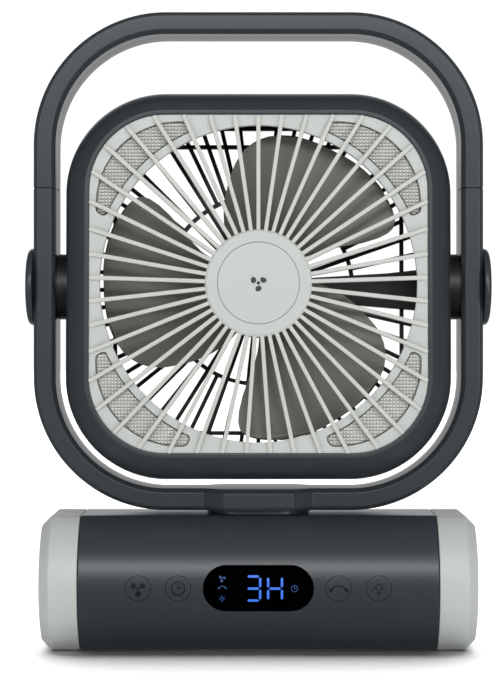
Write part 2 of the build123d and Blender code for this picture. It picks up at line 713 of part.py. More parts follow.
def duct_cover():
    return slab(duct_outline(0), DUCT_FRONT_Y, DUCT_FRONT_Y + 1.5) - slab(Circle(CUP_RADIUS + 0.2), 0, 40)


def motor_cable():
    """Lead in the duct, from the motor to the hollow pivot."""
    return rod_x(1.5, MOTOR_RADIUS + 0.6, REAR_OPENING - 3, 24.8, 0)


def motor_can():
    """Motor casing, open inside, with seats for two bearings."""
    can = slab(Circle(MOTOR_RADIUS), MOTOR_FRONT_Y, MOTOR_BACK_Y - 0.1)
    can -= slab(Circle(MOTOR_RADIUS - 1.2), MOTOR_FRONT_Y + 3.5, MOTOR_BACK_Y - 3.5)
    can -= slab(Circle(4.0), MOTOR_FRONT_Y, MOTOR_FRONT_Y + 3.5)
    can -= slab(Circle(4.0), MOTOR_BACK_Y - 3.5, MOTOR_BACK_Y - 1)
    return can


def motor_bearings():
    ring = Circle(4.0) - Circle(SHAFT_RADIUS + RUNNING)
    front = slab(ring, MOTOR_FRONT_Y + 0.2, MOTOR_FRONT_Y + 3.2)
    return group([front, slab(ring, MOTOR_BACK_Y - 3.5, MOTOR_BACK_Y - 1)])


def motor_magnets():
    """Ring magnet inside the casing."""
    return slab(Circle(MOTOR_RADIUS - 1.2) - Circle(MOTOR_RADIUS - 3), 9.5, 21)


# ---- rotor ----


def motor_shaft():
    return slab(Circle(SHAFT_RADIUS), ROTOR_FRONT_Y - 3.0, MOTOR_BACK_Y - 1.2)


def motor_armature():
    body = slab(Circle(MOTOR_RADIUS - 3.5), 10, 20.5)
    for i in range(3):
        body -= slab(Rot(0, 0, 120 * i) * Pos(11, 0) * Rectangle(9, 2.4), 5, 25)
    return body - slab(Circle(SHAFT_RADIUS), 0, 30)


def rotor_nut():
    """Push nut that holds the rotor on the shaft."""
    return slab(Circle(4.0), ROTOR_FRONT_Y - 2.2, ROTOR_FRONT_Y) - slab(Circle(SHAFT_RADIUS), -40, 0)


def blade_outline():
    """Front view of the upper blade: swept leading edge on the left, short trailing edge on the right."""
    leading = Spline((-11, 17), (-17.2, 29), (-17.4, 47), (-11.6, 66), (0, 77.2), (TIP_RADIUS * cos(radians(76)),
                     TIP_RADIUS * sin(radians(76))), tangents=[(-0.6, 1), (sin(radians(76)), -cos(radians(76)))])
    middle = (TIP_RADIUS * cos(radians(56)), TIP_RADIUS * sin(radians(56)))
    corner = (TIP_RADIUS * cos(radians(36)), TIP_RADIUS * sin(radians(36)))
    tip = ThreePointArc(leading @ 1, middle, corner)
    trailing = Spline(corner, (71.4, 33.5), (69, 24.2), (58, 18.2), (30, 14), (18, 8),
                      tangents=[(sin(radians(36)), -cos(radians(36))), (-1, -0.5)])
    return make_face([leading, tip, trailing, Line(trailing @ 1, leading @ 0)])


def blade():
    """Helical sheet cut to the blade's outline. The leading edge lies further back."""
    sections = []
    for step in range(10):
        angle = radians(step * 15)
        depth = BLADE_FRONT_Y + BLADE_RISE * (step * 15 - 15) / 105
        radial = Vector(cos(angle), 0, sin(angle))
        plane = Plane(origin=(0, depth, 0), x_dir=radial, z_dir=(-sin(angle), 0, cos(angle)))
        sections.append(plane * Pos(51, 0) * Rectangle(70, BLADE_THICK))
    sheet = loft(sections)
    return sheet & slab(blade_outline(), -45, 15)


def fan_rotor():
    """Hub cup, open to the back, with three blades."""
    hub = fillet(front_edges(slab(Circle(ROTOR_HUB), ROTOR_FRONT_Y, ROTOR_BACK_Y)), 3.0)
    rotor = hub - slab(Circle(ROTOR_HUB - 2), ROTOR_FRONT_Y + 2.5, 0)
    rotor += slab(Circle(5), ROTOR_FRONT_Y + 2, ROTOR_BACK_Y)
    one = blade() - slab(Circle(ROTOR_HUB - 1), -60, 30)
    for i in range(BLADE_COUNT):
        rotor += Rot(0, 120 * i, 0) * one
    return rotor - slab(Circle(SHAFT_RADIUS), -40, 10)


def left_of(shape):
    return Rot(0, 0, 180) * shape


def base_nodes():
    cap = base_cap()
    nodes = {
        "base_housing": base_housing(),
        "base_floor": base_floor(),
        "base_cap_right": cap,
        "base_cap_left": left_of(cap),
        "base_feet": base_feet(),
        "base_screws": base_screws(),
        "display_window": display_window(),
        "display_module": display_module(),
        "control_board": control_board(),
        "tact_switches": tact_switches(),
        "battery_cells": battery_cells(),
        "battery_cradle": battery_cradle(),
        "power_board": power_board(),
        "charge_port": charge_port(),
        "swing_motor": swing_motor(),
        "swing_pinion": swing_pinion(),
        "swivel_bush": swivel_bush(),
    }
    for name, x in zip(BUTTON_NAMES, BUTTON_X):
        nodes[name] = button(x)
    return nodes


def yoke_nodes():
    bush = pivot_bush()
    nodes = {
        "swivel_disc": swivel_disc(),
        "swivel_post": swivel_post(),
        "swing_gear": swing_gear(),
        "swivel_retainer": swivel_retainer(),
        "handle_tongues": handle_tongues(),
        "ring_screws": ring_screws(),
        "pivot_bush_right": bush,
        "pivot_bush_left": left_of(bush),
        "friction_washers": friction_washers(),
    }
    nodes.update(ring_shells())
    return nodes


def head_nodes():
    shaft = pivot_shaft()
    knob = tilt_knob()
    nodes = {
        "head_front_frame": head_front_frame(),
        "head_rear_shell": head_rear_shell(),
        "front_grille": front_grille(),
        "hub_badge": hub_badge(),
        "led_boards": led_boards(),
        "air_ring": air_ring(),
        "rear_grille": rear_grille(),
        "duct_cover": duct_cover(),
        "motor_cable": motor_cable(),
        "head_pillars": head_pillars(),
        "head_screws": head_screws(),
        "motor_can": motor_can(),
        "motor_magnets": motor_magnets(),
        "motor_bearings": motor_bearings(),
        "pivot_shaft_right": shaft,
        "pivot_shaft_left": left_of(shaft),
        "tilt_knob_right": knob,
        "tilt_knob_left": left_of(knob),
        "fan_rotor": fan_rotor(),
        "motor_shaft": motor_shaft(),
        "motor_armature": motor_armature(),
        "rotor_nut": rotor_nut(),
    }
    for quarter, name in enumerate(LENS_NAMES):
        nodes[name] = led_lens(quarter)
    return {name: HEAD_PLACE * shape for name, shape in nodes.items()}


def main():
    os.makedirs("parts", exist_ok=True)
    nodes = {**base_nodes(), **yoke_nodes(), **head_nodes()}
    for name, shape in nodes.items():
        export_step(shape, f"parts/{name}.step")
    print(len(nodes), "nodes written")


main()
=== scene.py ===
import json
from math import asin, atan2, cos, degrees, hypot, pi, radians, sin, sqrt, tan, tau

import bmesh
import bpy
from mathutils import Matrix, Vector

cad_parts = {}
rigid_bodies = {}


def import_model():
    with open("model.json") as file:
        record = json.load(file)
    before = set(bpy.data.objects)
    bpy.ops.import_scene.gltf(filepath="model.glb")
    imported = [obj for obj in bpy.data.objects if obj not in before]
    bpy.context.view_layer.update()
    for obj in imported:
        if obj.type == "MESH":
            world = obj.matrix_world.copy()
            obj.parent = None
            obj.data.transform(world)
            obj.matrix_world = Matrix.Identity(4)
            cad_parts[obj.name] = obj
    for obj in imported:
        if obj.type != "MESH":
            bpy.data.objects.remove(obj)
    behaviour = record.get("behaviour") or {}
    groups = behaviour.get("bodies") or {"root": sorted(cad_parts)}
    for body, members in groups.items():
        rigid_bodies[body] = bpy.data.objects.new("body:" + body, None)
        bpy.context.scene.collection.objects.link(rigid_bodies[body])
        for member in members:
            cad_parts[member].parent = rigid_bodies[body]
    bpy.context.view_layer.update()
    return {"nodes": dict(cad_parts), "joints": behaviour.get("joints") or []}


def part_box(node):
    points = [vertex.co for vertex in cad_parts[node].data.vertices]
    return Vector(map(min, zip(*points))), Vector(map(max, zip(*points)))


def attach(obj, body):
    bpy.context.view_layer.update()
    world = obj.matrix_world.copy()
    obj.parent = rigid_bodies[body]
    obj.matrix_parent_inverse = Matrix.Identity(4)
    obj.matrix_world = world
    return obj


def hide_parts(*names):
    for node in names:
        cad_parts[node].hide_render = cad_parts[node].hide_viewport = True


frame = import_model()
scene = bpy.context.scene
joints = {joint["name"]: joint for joint in frame["joints"]}
print("frame loaded:", len(frame["nodes"]), "nodes")

# Everything is drawn in millimetres and brought to metres as it is finished.
# The head is drawn about its tilt axis, upright, and put in place by headPlace.
toMetres = Matrix.Scale(0.001, 4)
pivot = Vector(joints["head_tilt"]["pos_m"]) * 1000
spinAxis = Vector(joints["rotor_spin"]["axis"])
headPlace = Matrix.Translation(pivot) @ Matrix.Rotation(atan2(spinAxis.z, spinAxis.y), 4, "X")
facingFront = Matrix.Rotation(pi / 2, 4, "X")  # local +Z becomes -Y, out of the front
facingRight = Matrix.Rotation(pi / 2, 4, "Y")  # local +Z becomes +X


def nodeBox(name):
    low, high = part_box(name)
    return low * 1000, high * 1000


# ---- camera, floor and light ----

camera = {"distance": 1.015, "height": 0.1605, "lens": 101.8, "sensor": 36, "shift": -0.0101470588,
          "near": 0.05, "far": 50}
studio = {"floor": 9000, "floorDrop": 0.05, "behind": 1.05, "room": 0.12, "dimUpTo": 0.75, "brightFrom": 0.93,
          "floorSun": 5.3, "sunTilt": 30, "sunSpread": 84}
# Each softbox: place, target, size, power, and whether surfaces mirror it
softboxes = {
    "frontSoftbox": ((0, -4.0, 1.8), (0, 0, 0.1), (3.1, 0.6), 78, True),
    "topSoftbox": ((0, -0.5, 2.2), (0, 0, 0.2), (1.6, 1.4), 13, False),
    "leftSoftbox": ((-1.7, -2.0, 0.45), (0, 0, 0.15), (0.6, 1.3), 9, True),
    "rightSoftbox": ((1.7, -2.0, 0.45), (0, 0, 0.15), (0.6, 1.3), 20, True),
}


def makeCamera():
    data = bpy.data.cameras.new("camera")
    data.sensor_fit = "VERTICAL"
    data.sensor_height = data.sensor_width = camera["sensor"]
    data.lens = camera["lens"]
    data.shift_x = camera["shift"]
    data.clip_start, data.clip_end = camera["near"], camera["far"]
    obj = bpy.data.objects.new("camera", data)
    scene.collection.objects.link(obj)
    obj.location = (0, -camera["distance"], camera["height"])
    obj.rotation_euler = (pi / 2, 0, 0)
    scene.camera = obj


def addLight(name, receivers, place, target, size, power, glossy):
    data = bpy.data.lights.new(name, "AREA")
    data.shape = "RECTANGLE"
    data.size, data.size_y = size
    data.energy = power
    obj = bpy.data.objects.new(name, data)
    scene.collection.objects.link(obj)
    obj.location = place
    obj.rotation_euler = (Vector(target) - Vector(place)).to_track_quat("-Z", "Y").to_euler()
    obj.visible_camera = False
    obj.visible_glossy = glossy
    obj.light_linking.receiver_collection = receivers


makeCamera()


# ---- materials ----


def linear(code):
    channels = [int(code[i:i + 2], 16) / 255 for i in (1, 3, 5)]
    return [c / 12.92 if c <= 0.04045 else ((c + 0.055) / 1.055) ** 2.4 for c in channels] + [1.0]


def addNode(tree, kind, settings, links=None):
    # An input goes by its name, or by its number where several share a name
    node = tree.nodes.new("ShaderNode" + kind)
    for key, value in settings.items():
        if isinstance(key, int) or key in node.inputs:
            node.inputs[key].default_value = value
        else:
            setattr(node, key, value)
    for key, source in (links or {}).items():
        tree.links.new(source, node.inputs[key])
    return node


mixA, mixB, mixed = 6, 7, 2  # colour sockets of the Mix node


def newMaterial(name, settings):
    material = bpy.data.materials.new(name)
    material.use_nodes = True
    tree = material.node_tree
    shader = tree.nodes["Principled BSDF"]
    for key, value in settings.items():
        shader.inputs[key].default_value = value
    return material, tree, shader


def perMetre(sizeMm):
    return 1000 / sizeMm


def cloudedMaterial(name, settings, sizeMm, detail, dark, light, socket="Base Color"):
    # A colour that drifts between two shades, over patches of the size given
    material, tree, shader = newMaterial(name, settings)
    place = addNode(tree, "TexCoord", {})
    noise = addNode(tree, "TexNoise", {"Scale": perMetre(sizeMm), "Detail": detail},
                    {"Vector": place.outputs["Object"]})
    tint = addNode(tree, "Mix", {"data_type": "RGBA", mixA: linear(dark), mixB: linear(light)},
                   {"Factor": noise.outputs["Fac"]})
    tree.links.new(tint.outputs[mixed], shader.inputs[socket])
    return material, tree, shader, place, noise.outputs["Fac"], tint.outputs[mixed]


def varyRoughness(tree, shader, source, low, high):
    rough = addNode(tree, "MapRange", {"To Min": low, "To Max": high}, {"Value": source})
    tree.links.new(rough.outputs["Result"], shader.inputs["Roughness"])


def mouldedPlastic(name, dark, light, cloudMm, grainMm, roughness, relief):
    # Injection-moulded part: fine spark-eroded grain, so a soft broad highlight and a faint sparkle
    material, tree, shader, place, _, _ = cloudedMaterial(name, {"IOR": 1.5}, cloudMm, 3.0, dark, light)
    grain = addNode(tree, "TexNoise", {"Scale": perMetre(grainMm), "Detail": 2.0, "Roughness": 0.6},
                    {"Vector": place.outputs["Object"]})
    varyRoughness(tree, shader, grain.outputs["Fac"], roughness - 0.05, roughness + 0.05)
    bump = addNode(tree, "Bump", {"Strength": relief, "Distance": 0.0001}, {"Height": grain.outputs["Fac"]})
    tree.links.new(bump.outputs["Normal"], shader.inputs["Normal"])
    return material


# Each moulding: name, dark and light colour, size of clouds and of grain in mm, roughness, relief
(slateAbs, greyAbs, ribAbs, bladeAbs, blackAbs, keyInk, padInk, footRubber, acetal, cellFilm, boardGreen,
 boardWhite, ledYellow) = [mouldedPlastic(*look) for look in (
     ("mouldedSlateAbs", "#2a3034", "#2e3438", 25, 0.5, 0.34, 0.10),
     ("mouldedPaleGreyAbs", "#aaaeab", "#b0b3b0", 30, 0.5, 0.45, 0.08),
     ("mouldedPaleGreyAbsRibs", "#adafaa", "#b3b5b0", 30, 0.5, 0.5, 0.05),
     ("mouldedWarmGreyAbs", "#62605a", "#68665f", 22, 0.6, 0.42, 0.08),
     ("mouldedBlackAbs", "#0c0c0d", "#101011", 20, 0.5, 0.45, 0.10),
     ("mouldedSlateAbsSymbols", "#0a0c0d", "#0d0f10", 10, 0.4, 0.35, 0.05),
     ("padPrintInk", "#2a2c2e", "#303234", 8, 0.3, 0.5, 0.04),
     ("mouldedRubber", "#161616", "#1c1c1c", 6, 0.4, 0.8, 0.2),
     ("mouldedAcetal", "#d8d6cf", "#e2e0d9", 12, 0.5, 0.35, 0.04),
     ("shrinkFilm", "#22406c", "#284a7c", 20, 2.0, 0.25, 0.05),
     ("solderMaskedBoard", "#12452a", "#185636", 6, 0.8, 0.35, 0.1),
     ("whiteSolderMask", "#dcdcd6", "#e6e6e0", 6, 0.8, 0.4, 0.05),
     ("ledPhosphor", "#d9cf6a", "#e6dd80", 2, 0.3, 0.5, 0.05),
 )]


def makeDisplayGlass():
    # Polished smoked acrylic: a deep, even black that lets the figures stand out
    material, tree, shader, _, smear, _ = cloudedMaterial(
        "polishedBlackAcrylic", {"IOR": 1.49, "Specular IOR Level": 0.0}, 14, 2.0, "#010102", "#010102")
    varyRoughness(tree, shader, smear, 0.05, 0.11)
    return material


def makeLitSegment(name, dark, light, strength):
    # Light-emitting segments seen through the smoked face
    settings = {"Base Color": linear("#05070c"), "Emission Strength": strength}
    return cloudedMaterial(name, settings, 2.5, 1.0, dark, light, "Emission Color")[0]


def makeLensPlastic():
    # Clear moulded polycarbonate with a prism face, with painted light and shade: facets that look up are painted
    # bright, those that look down painted dark
    material, tree, shader, place, _, paintedLitColour = cloudedMaterial(
        "mouldedClearPolycarbonate", {"Roughness": 0.2, "IOR": 1.58, "Transmission Weight": 0.1}, 9, 2.0,
        "#dcded6", "#f3f4f0")
    # Painted light and shade: facets tilted up take the pale painted-highlight colour, facets tilted down the dark
    # painted-shade colour #3e413d
    lean = addNode(tree, "SeparateXYZ", {}, {"Vector": place.outputs["Normal"]})
    turned = addNode(tree, "MapRange", {"From Min": -0.35, "From Max": 0.35}, {"Value": lean.outputs["Z"]})
    tint = addNode(tree, "Mix", {"data_type": "RGBA", mixA: linear("#3e413d")},
                   {"Factor": turned.outputs["Result"], mixB: paintedLitColour})
    tree.links.new(tint.outputs[mixed], shader.inputs["Base Color"])
    return material


def makeSteel(name, dark, light, roughness):
    # Turned or stamped steel: fine marks that stretch the highlight
    material, tree, shader, _, marks, _ = cloudedMaterial(name, {"Metallic": 1.0}, 0.8, 3.0, dark, light)
    varyRoughness(tree, shader, marks, roughness - 0.08, roughness + 0.08)
    return material


displayGlass = makeDisplayGlass()
litBlue = makeLitSegment("litBlueSegments", "#2c66ec", "#4b8af6", 1.0)
dimBlue = makeLitSegment("dimBlueSymbols", "#2a5290", "#3c6fb6", 0.7)
lensPlastic = makeLensPlastic()
plainSteel = makeSteel("turnedSteel", "#a9a9ab", "#c4c4c6", 0.3)
blackSteel = makeSteel("blackOxideSteel", "#1b1b1c", "#2a2a2b", 0.42)
sheetSteel = makeSteel("stackedSheetSteel", "#6d6a66", "#86837e", 0.4)
print("materials made")


# ---- mesh tools ----


def vertsOf(geom):
    return [item for item in geom if isinstance(item, bmesh.types.BMVert)]


def edgesOf(geom):
    return [item for item in geom if isinstance(item, bmesh.types.BMEdge)]


def everything(bm):
    return list(bm.verts) + list(bm.edges) + list(bm.faces)


def sweepLoop(bm, profile, cornerX, low, high, steps):
    # Closed profile of (radius about the corner centre, depth) carried round a rounded rectangle
    ring = [bm.verts.new((-cornerX, y, high + r)) for r, y in profile]
    last = [bm.edges.new((a, b)) for a, b in zip(ring, ring[1:] + ring[:1])]
    corners = ((cornerX, high), (cornerX, low), (-cornerX, low), (-cornerX, high))
    moves = ((2 * cornerX, 0, 0), (0, 0, low - high), (-2 * cornerX, 0, 0), (0, 0, high - low))
    for move, (x, z) in zip(moves, corners):
        out = bmesh.ops.extrude_edge_only(bm, edges=last)["geom"]
        bmesh.ops.translate(bm, verts=vertsOf(out), vec=move)
        moved = set(vertsOf(out))
        last = [edge for edge in edgesOf(out) if all(v in moved for v in edge.verts)]
        spun = bmesh.ops.spin(bm, geom=last + list(moved), cent=(x, 0, z), axis=(0, 1, 0), angle=pi / 2,
                              steps=steps, use_duplicate=False)
        last = edgesOf(spun["geom_last"])
    bmesh.ops.remove_doubles(bm, verts=bm.verts, dist=0.001)
    bmesh.ops.recalc_face_normals(bm, faces=bm.faces)


def lathe(profile, steps=96, place=None):
    # Profile of (radius, height) spun about local Z
    bm = bmesh.new()
    verts = [bm.verts.new((r, 0, h)) for r, h in profile]
    edges = [bm.edges.new(pair) for pair in zip(verts, verts[1:])]
    bmesh.ops.spin(bm, geom=verts + edges, cent=(0, 0, 0), axis=(0, 0, 1), angle=tau, steps=steps,
                   use_merge=True)
    bmesh.ops.remove_doubles(bm, verts=bm.verts, dist=0.001)
    bmesh.ops.recalc_face_normals(bm, faces=bm.faces)
    if place:
        bm.transform(place)
    return bm


def prism(bm, outline, front, back):
    # Outline of (x, z) made solid between two depths
    verts = [bm.verts.new((x, back, z)) for x, z in outline]
    face = bm.faces.new(verts)
    out = bmesh.ops.extrude_face_region(bm, geom=[face])["geom"]
    bmesh.ops.translate(bm, verts=vertsOf(out), vec=(0, front - back, 0))
    faces = set(face for v in verts + vertsOf(out) for face in v.link_faces)
    bmesh.ops.recalc_face_normals(bm, faces=list(faces))
    return verts + vertsOf(out)


def solid(outline, front, back):
    bm = bmesh.new()
    prism(bm, outline, front, back)
    return bm


def arc(centre, radius, start, end, steps):
    # Points round a circle, angles in degrees
    angles = [radians(start + (end - start) * i / steps) for i in range(steps + 1)]
    return [(centre[0] + radius * cos(a), centre[1] + radius * sin(a)) for a in angles]


def roundedSquare(half, radius, steps):
    c = half - radius
    return (arc((c, c), radius, 0, 90, steps) + arc((-c, c), radius, 90, 180, steps)
            + arc((-c, -c), radius, 180, 270, steps) + arc((c, -c), radius, 270, 360, steps))


def circle(radius, x=0.0, z=0.0, steps=96):
    return arc((x, z), radius, 0, 360, steps)[:-1]


def slot(length, height, steps=32):
    # Stadium outline
    c = (length - height) / 2
    return arc((c, 0), height / 2, -90, 90, steps) + arc((-c, 0), height / 2, 90, 270, steps)


def bevelSharp(bm, width, segments=2, angle=32, only=None):
    edges = [e for e in bm.edges if len(e.link_faces) == 2 and e.calc_face_angle(0) > radians(angle)]
    if only:
        edges = [e for e in edges if only((e.verts[0].co + e.verts[1].co) / 2)]
    bmesh.ops.bevel(bm, geom=edges, offset=width, segments=segments, profile=0.5, affect="EDGES", material=-1,
                    clamp_overlap=True)


def boxBetween(low, high):
    bm = bmesh.new()
    bmesh.ops.create_cube(bm, size=1)
    size = [b - a for a, b in zip(low, high)]
    centre = [(a + b) / 2 for a, b in zip(low, high)]
    bmesh.ops.scale(bm, vec=size, verts=bm.verts)
    bmesh.ops.translate(bm, vec=centre, verts=bm.verts)
    return bm


def workObject(bm):
    mesh = bpy.data.meshes.new("work")
    bm.to_mesh(mesh)
    bm.free()
    obj = bpy.data.objects.new("work", mesh)
    scene.collection.objects.link(obj)
    return obj


def combine(target, cutter, operation="DIFFERENCE"):
    # Boolean of two bmeshes, given back as a new one
    kept, tool = workObject(target), workObject(cutter)
    cut = kept.modifiers.new("cut", "BOOLEAN")
    cut.solver = "EXACT"
    cut.operation = operation
    cut.object = tool
    result = bmesh.new()
    mesh = bpy.data.meshes.new_from_object(kept.evaluated_get(bpy.context.evaluated_depsgraph_get()))
    result.from_mesh(mesh)
    for obj in (kept, tool):
        data = obj.data
        bpy.data.objects.remove(obj)
        bpy.data.meshes.remove(data)
    bpy.data.meshes.remove(mesh)
    bmesh.ops.remove_doubles(result, verts=result.verts, dist=0.0005)
    return result


def join(bm, other):
    # Adds another bmesh's geometry to this one
    mesh = bpy.data.meshes.new("work")
    other.to_mesh(mesh)
    other.free()
    bm.from_mesh(mesh)
    bpy.data.meshes.remove(mesh)


def finishPiece(name, bm, body, material, replaced=(), smooth=35):
    if body in ("head", "rotor"):
        bm.transform(headPlace)
    bm.transform(toMetres)
    mesh = bpy.data.meshes.new(name)
    bm.to_mesh(mesh)
    bm.free()
    mesh.polygons.foreach_set("use_smooth", [True] * len(mesh.polygons))
    mesh.set_sharp_from_angle(angle=radians(smooth))
    mesh.materials.append(material)
    obj = bpy.data.objects.new(name, mesh)
    scene.collection.objects.link(obj)
    even = obj.modifiers.new("evenShading", "WEIGHTED_NORMAL")  # flat faces stay flat beside small bevels
    even.keep_sharp = True
    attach(obj, body)
    if replaced:
        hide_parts(*replaced)


def mirrored(bm):
    # Copy turned half round the vertical axis
    other = bm.copy()
    other.transform(Matrix.Rotation(pi, 4, "Z"))
    return other


def finishPair(name, bm, body, material, node):
    # A piece on the right and its twin on the left
    for side, piece in (("right", bm), ("left", mirrored(bm))):
        finishPiece(name + side.title(), piece, body, material, [node + "_" + side])


# ---- base tube ----

housingLow, housingHigh = nodeBox("base_housing")
displayLow, displayHigh = nodeBox("display_window")
tube = {
    "radius": housingHigh.y, "axis": (displayLow.z + displayHigh.z) / 2, "top": housingHigh.z,
    "bottom": housingLow.z, "half": housingHigh.x, "end": nodeBox("base_cap_right")[1].x, "wall": 2.4,
    "endChamfer": 5.4, "seam": 0.16, "topRound": 7.0, "bottomRound": 1.0, "steps": 56, "bevel": 0.45,
    "endBevel": 0.7, "gap": 0.3, "postHole": 13.2,
}
throughFront, throughBack = (-60, -30), (30, 60)  # depths of cutters


def tubeOutline(inset):
    # Section as (y, z): the front from the top flat downwards, then the rear upwards
    radius = tube["radius"] - inset
    high = tube["top"] - tube["axis"] - inset - tube["topRound"]
    low = tube["bottom"] - tube["axis"] + inset + tube["bottomRound"]
    highY = sqrt((radius - tube["topRound"]) ** 2 - high ** 2)
    lowY = sqrt((radius - tube["bottomRound"]) ** 2 - low ** 2)
    start, end = degrees(atan2(high, highY)), degrees(atan2(low, lowY))
    front = arc((highY, high), tube["topRound"], 90, start, 10)
    front += arc((0, 0), radius, start, end, tube["steps"])[1:]
    front += arc((lowY, low), tube["bottomRound"], end, -90, 5)[1:]
    front = [(-y, z + tube["axis"]) for y, z in front]
    return front + [(-y, z) for y, z in reversed(front)]


def tubeBar(inset, start, end):
    bm = bmesh.new()
    face = bm.faces.new([bm.verts.new((start, y, z)) for y, z in tubeOutline(inset)])
    out = bmesh.ops.extrude_face_region(bm, geom=[face])["geom"]
    bmesh.ops.translate(bm, verts=vertsOf(out), vec=(end - start, 0, 0))
    bmesh.ops.recalc_face_normals(bm, faces=bm.faces)
    return bm


def onTube(bm, sunk):
    # Lays a flat drawing, with depth about y = 0, on the front of a part sunk in the tube
    for i in range(-12, 13):
        bmesh.ops.bisect_plane(bm, geom=everything(bm), plane_co=(0, 0, 0.75 * i), plane_no=(0, 0, 1), dist=0.0001)
    for v in bm.verts:
        v.co.y -= sqrt((tube["radius"] - sunk) ** 2 - v.co.z ** 2)
        v.co.z += tube["axis"]


controls = {
    "names": ("button_fan", "button_timer", "button_swing", "button_light"), "radius": 6.35, "gap": 0.22,
    "relief": 0.10, "sunk": 0.14, "windowSunk": 0.08, "window": displayHigh.x - displayLow.x,
    "windowHeight": displayHigh.z - displayLow.z, "windowGap": 0.12, "keyBack": -36.8, "keyBevel": 0.18,
    "flange": 7.4, "flangeBack": 36.4, "flangeFront": 37.0, "inside": 0.3,
}
buttonX = [(nodeBox(name)[0].x + nodeBox(name)[1].x) / 2 for name in controls["names"]]


def makeHousing():
    shell = tubeBar(0, -tube["half"] + tube["seam"], tube["half"] - tube["seam"])
    bevelSharp(shell, tube["bevel"], 3)
    cutter = tubeBar(tube["wall"], -tube["half"] - 5, tube["half"] + 5)
    shell = combine(shell, cutter)
    gap = 2 * controls["windowGap"]
    cutter = solid(slot(controls["window"] + gap, controls["windowHeight"] + gap), *throughFront)
    for x in buttonX:
        prism(cutter, circle(controls["radius"] + controls["gap"], x), *throughFront)
    bmesh.ops.translate(cutter, verts=cutter.verts, vec=(0, 0, tube["axis"]))
    portLow, portHigh = nodeBox("charge_port")
    portZ, gap = (portLow.z + portHigh.z) / 2, tube["gap"]
    hole = slot(portHigh.x - portLow.x + 2 * gap, portHigh.z - portLow.z + 2 * gap, 12)
    prism(cutter, [(x, z + portZ) for x, z in hole], *throughBack)
    floorLow, floorHigh = nodeBox("base_floor")
    join(cutter, boxBetween((floorLow.x - gap, floorLow.y - gap, -5), (floorHigh.x + gap, floorHigh.y + gap, 8)))
    join(cutter, lathe([(0, 60), (tube["postHole"], 60), (tube["postHole"], 80), (0, 80)], 64))
    shell = combine(shell, cutter)
    finishPiece("housingShell", shell, "base", slateAbs, ["base_housing"], smooth=30)


def makeEndCaps():
    # Straight from the seam to where the chamfer starts, then in to the flat end
    cap = bmesh.new()
    face = cap.faces.new([cap.verts.new((tube["half"] + tube["seam"], y, z)) for y, z in tubeOutline(0)])
    out = bmesh.ops.extrude_face_region(cap, geom=[face])["geom"]
    for x, inset in ((tube["end"] - tube["endChamfer"], 0), (tube["end"], tube["endChamfer"])):
        byPlace = {(round(v.co.y, 3), round(v.co.z, 3)): v for v in vertsOf(out)}
        for (y, z), (newY, newZ) in zip(tubeOutline(0), tubeOutline(inset)):
            byPlace[(round(y, 3), round(z, 3))].co = (x, newY, newZ)
        if not inset:
            endFace = [f for f in cap.faces if all(abs(v.co.x - x) < 0.01 for v in f.verts)]
            out = bmesh.ops.extrude_face_region(cap, geom=endFace)["geom"]
            bmesh.ops.delete(cap, geom=endFace, context="FACES_ONLY")
    bmesh.ops.recalc_face_normals(cap, faces=cap.faces)
    bevelSharp(cap, tube["endBevel"], 3, angle=28)
    finishPair("endCap", cap, "base", greyAbs, "base_cap")


makeHousing()
makeEndCaps()
print("base shells made")


# ---- display ----

digits = {"height": 12.2, "width": 7.0, "line": 1.2, "gap": 0.5, "x": -2.6, "pitch": 11.05, "depth": 0.06,
          "inside": 0.2}
segmentPlaces = {"top": (0, 1, 0), "middle": (0, 0, 0), "bottom": (0, -1, 0), "upperLeft": (-1, 0.5, 1),
                 "upperRight": (1, 0.5, 1), "lowerLeft": (-1, -0.5, 1), "lowerRight": (1, -0.5, 1)}
figures = {"3": ("top", "middle", "bottom", "upperRight", "lowerRight"),
           "H": ("middle", "upperLeft", "upperRight", "lowerLeft", "lowerRight")}


def segment(bm, x, z, length, upright):
    # Six-sided bar with pointed ends
    half, line = length / 2, digits["line"] / 2
    outline = [(-half, 0), (-half + line, line), (half - line, line), (half, 0), (half - line, -line),
               (-half + line, -line)]
    if upright:
        outline = [(-b, a) for a, b in outline]
    prism(bm, [(x + a, z + b) for a, b in outline], -digits["depth"], digits["inside"])


def fanSymbol(x, z, size, turn):
    # Three rounded blades about a hub, the first one at an angle of turn degrees
    outlines = [circle(0.2 * size, x, z, 16)]
    for i in range(3):
        angle = radians(turn + 120 * i)
        middle = (x + 0.62 * size * cos(angle), z + 0.62 * size * sin(angle))
        blade = []
        for a, b in circle(0.36 * size, steps=20):
            a, b = a * 0.85, b * (1.0 + 0.35 * a / size)
            blade.append((middle[0] + a * cos(angle + 0.5) - b * sin(angle + 0.5),
                          middle[1] + a * sin(angle + 0.5) + b * cos(angle + 0.5)))
        outlines.append(blade)
    return outlines


def band(x, z, inner, outer, start, end):
    # Part of a ring
    return arc((x, z), outer, start, end, 24) + arc((x, z), inner, end, start, 24)


def stroke(a, b, width):
    # Straight line between two points
    length = hypot(b[0] - a[0], b[1] - a[1])
    nx, nz = -(b[1] - a[1]) / length * width / 2, (b[0] - a[0]) / length * width / 2
    return [(a[0] + nx, a[1] + nz), (a[0] - nx, a[1] - nz), (b[0] - nx, b[1] - nz), (b[0] + nx, b[1] + nz)]


def clockSymbol(x, z, size, line):
    return [band(x, z, size - line, size, 0, 180), band(x, z, size - line, size, 180, 360),
            stroke((x, z + 0.62 * size), (x, z - 0.1 * size), line),
            stroke((x - line / 2, z), (x + 0.5 * size, z), line)]


def swingSymbol(x, z, size, line):
    # Arc with an arrowhead pointing down at each end
    centre = z - 0.55 * size
    outlines = [band(x, centre, size - line / 2, size + line / 2, 32, 148)]
    barbs = ((-0.34, 0.04), (0.20, -0.34), (0.26, 0.20))
    for side in (-1, 1):
        tip = (x + side * size * 0.86, centre + size * 0.50)
        outlines.append([(tip[0] + side * a * size, tip[1] + b * size) for a, b in barbs])
    return outlines


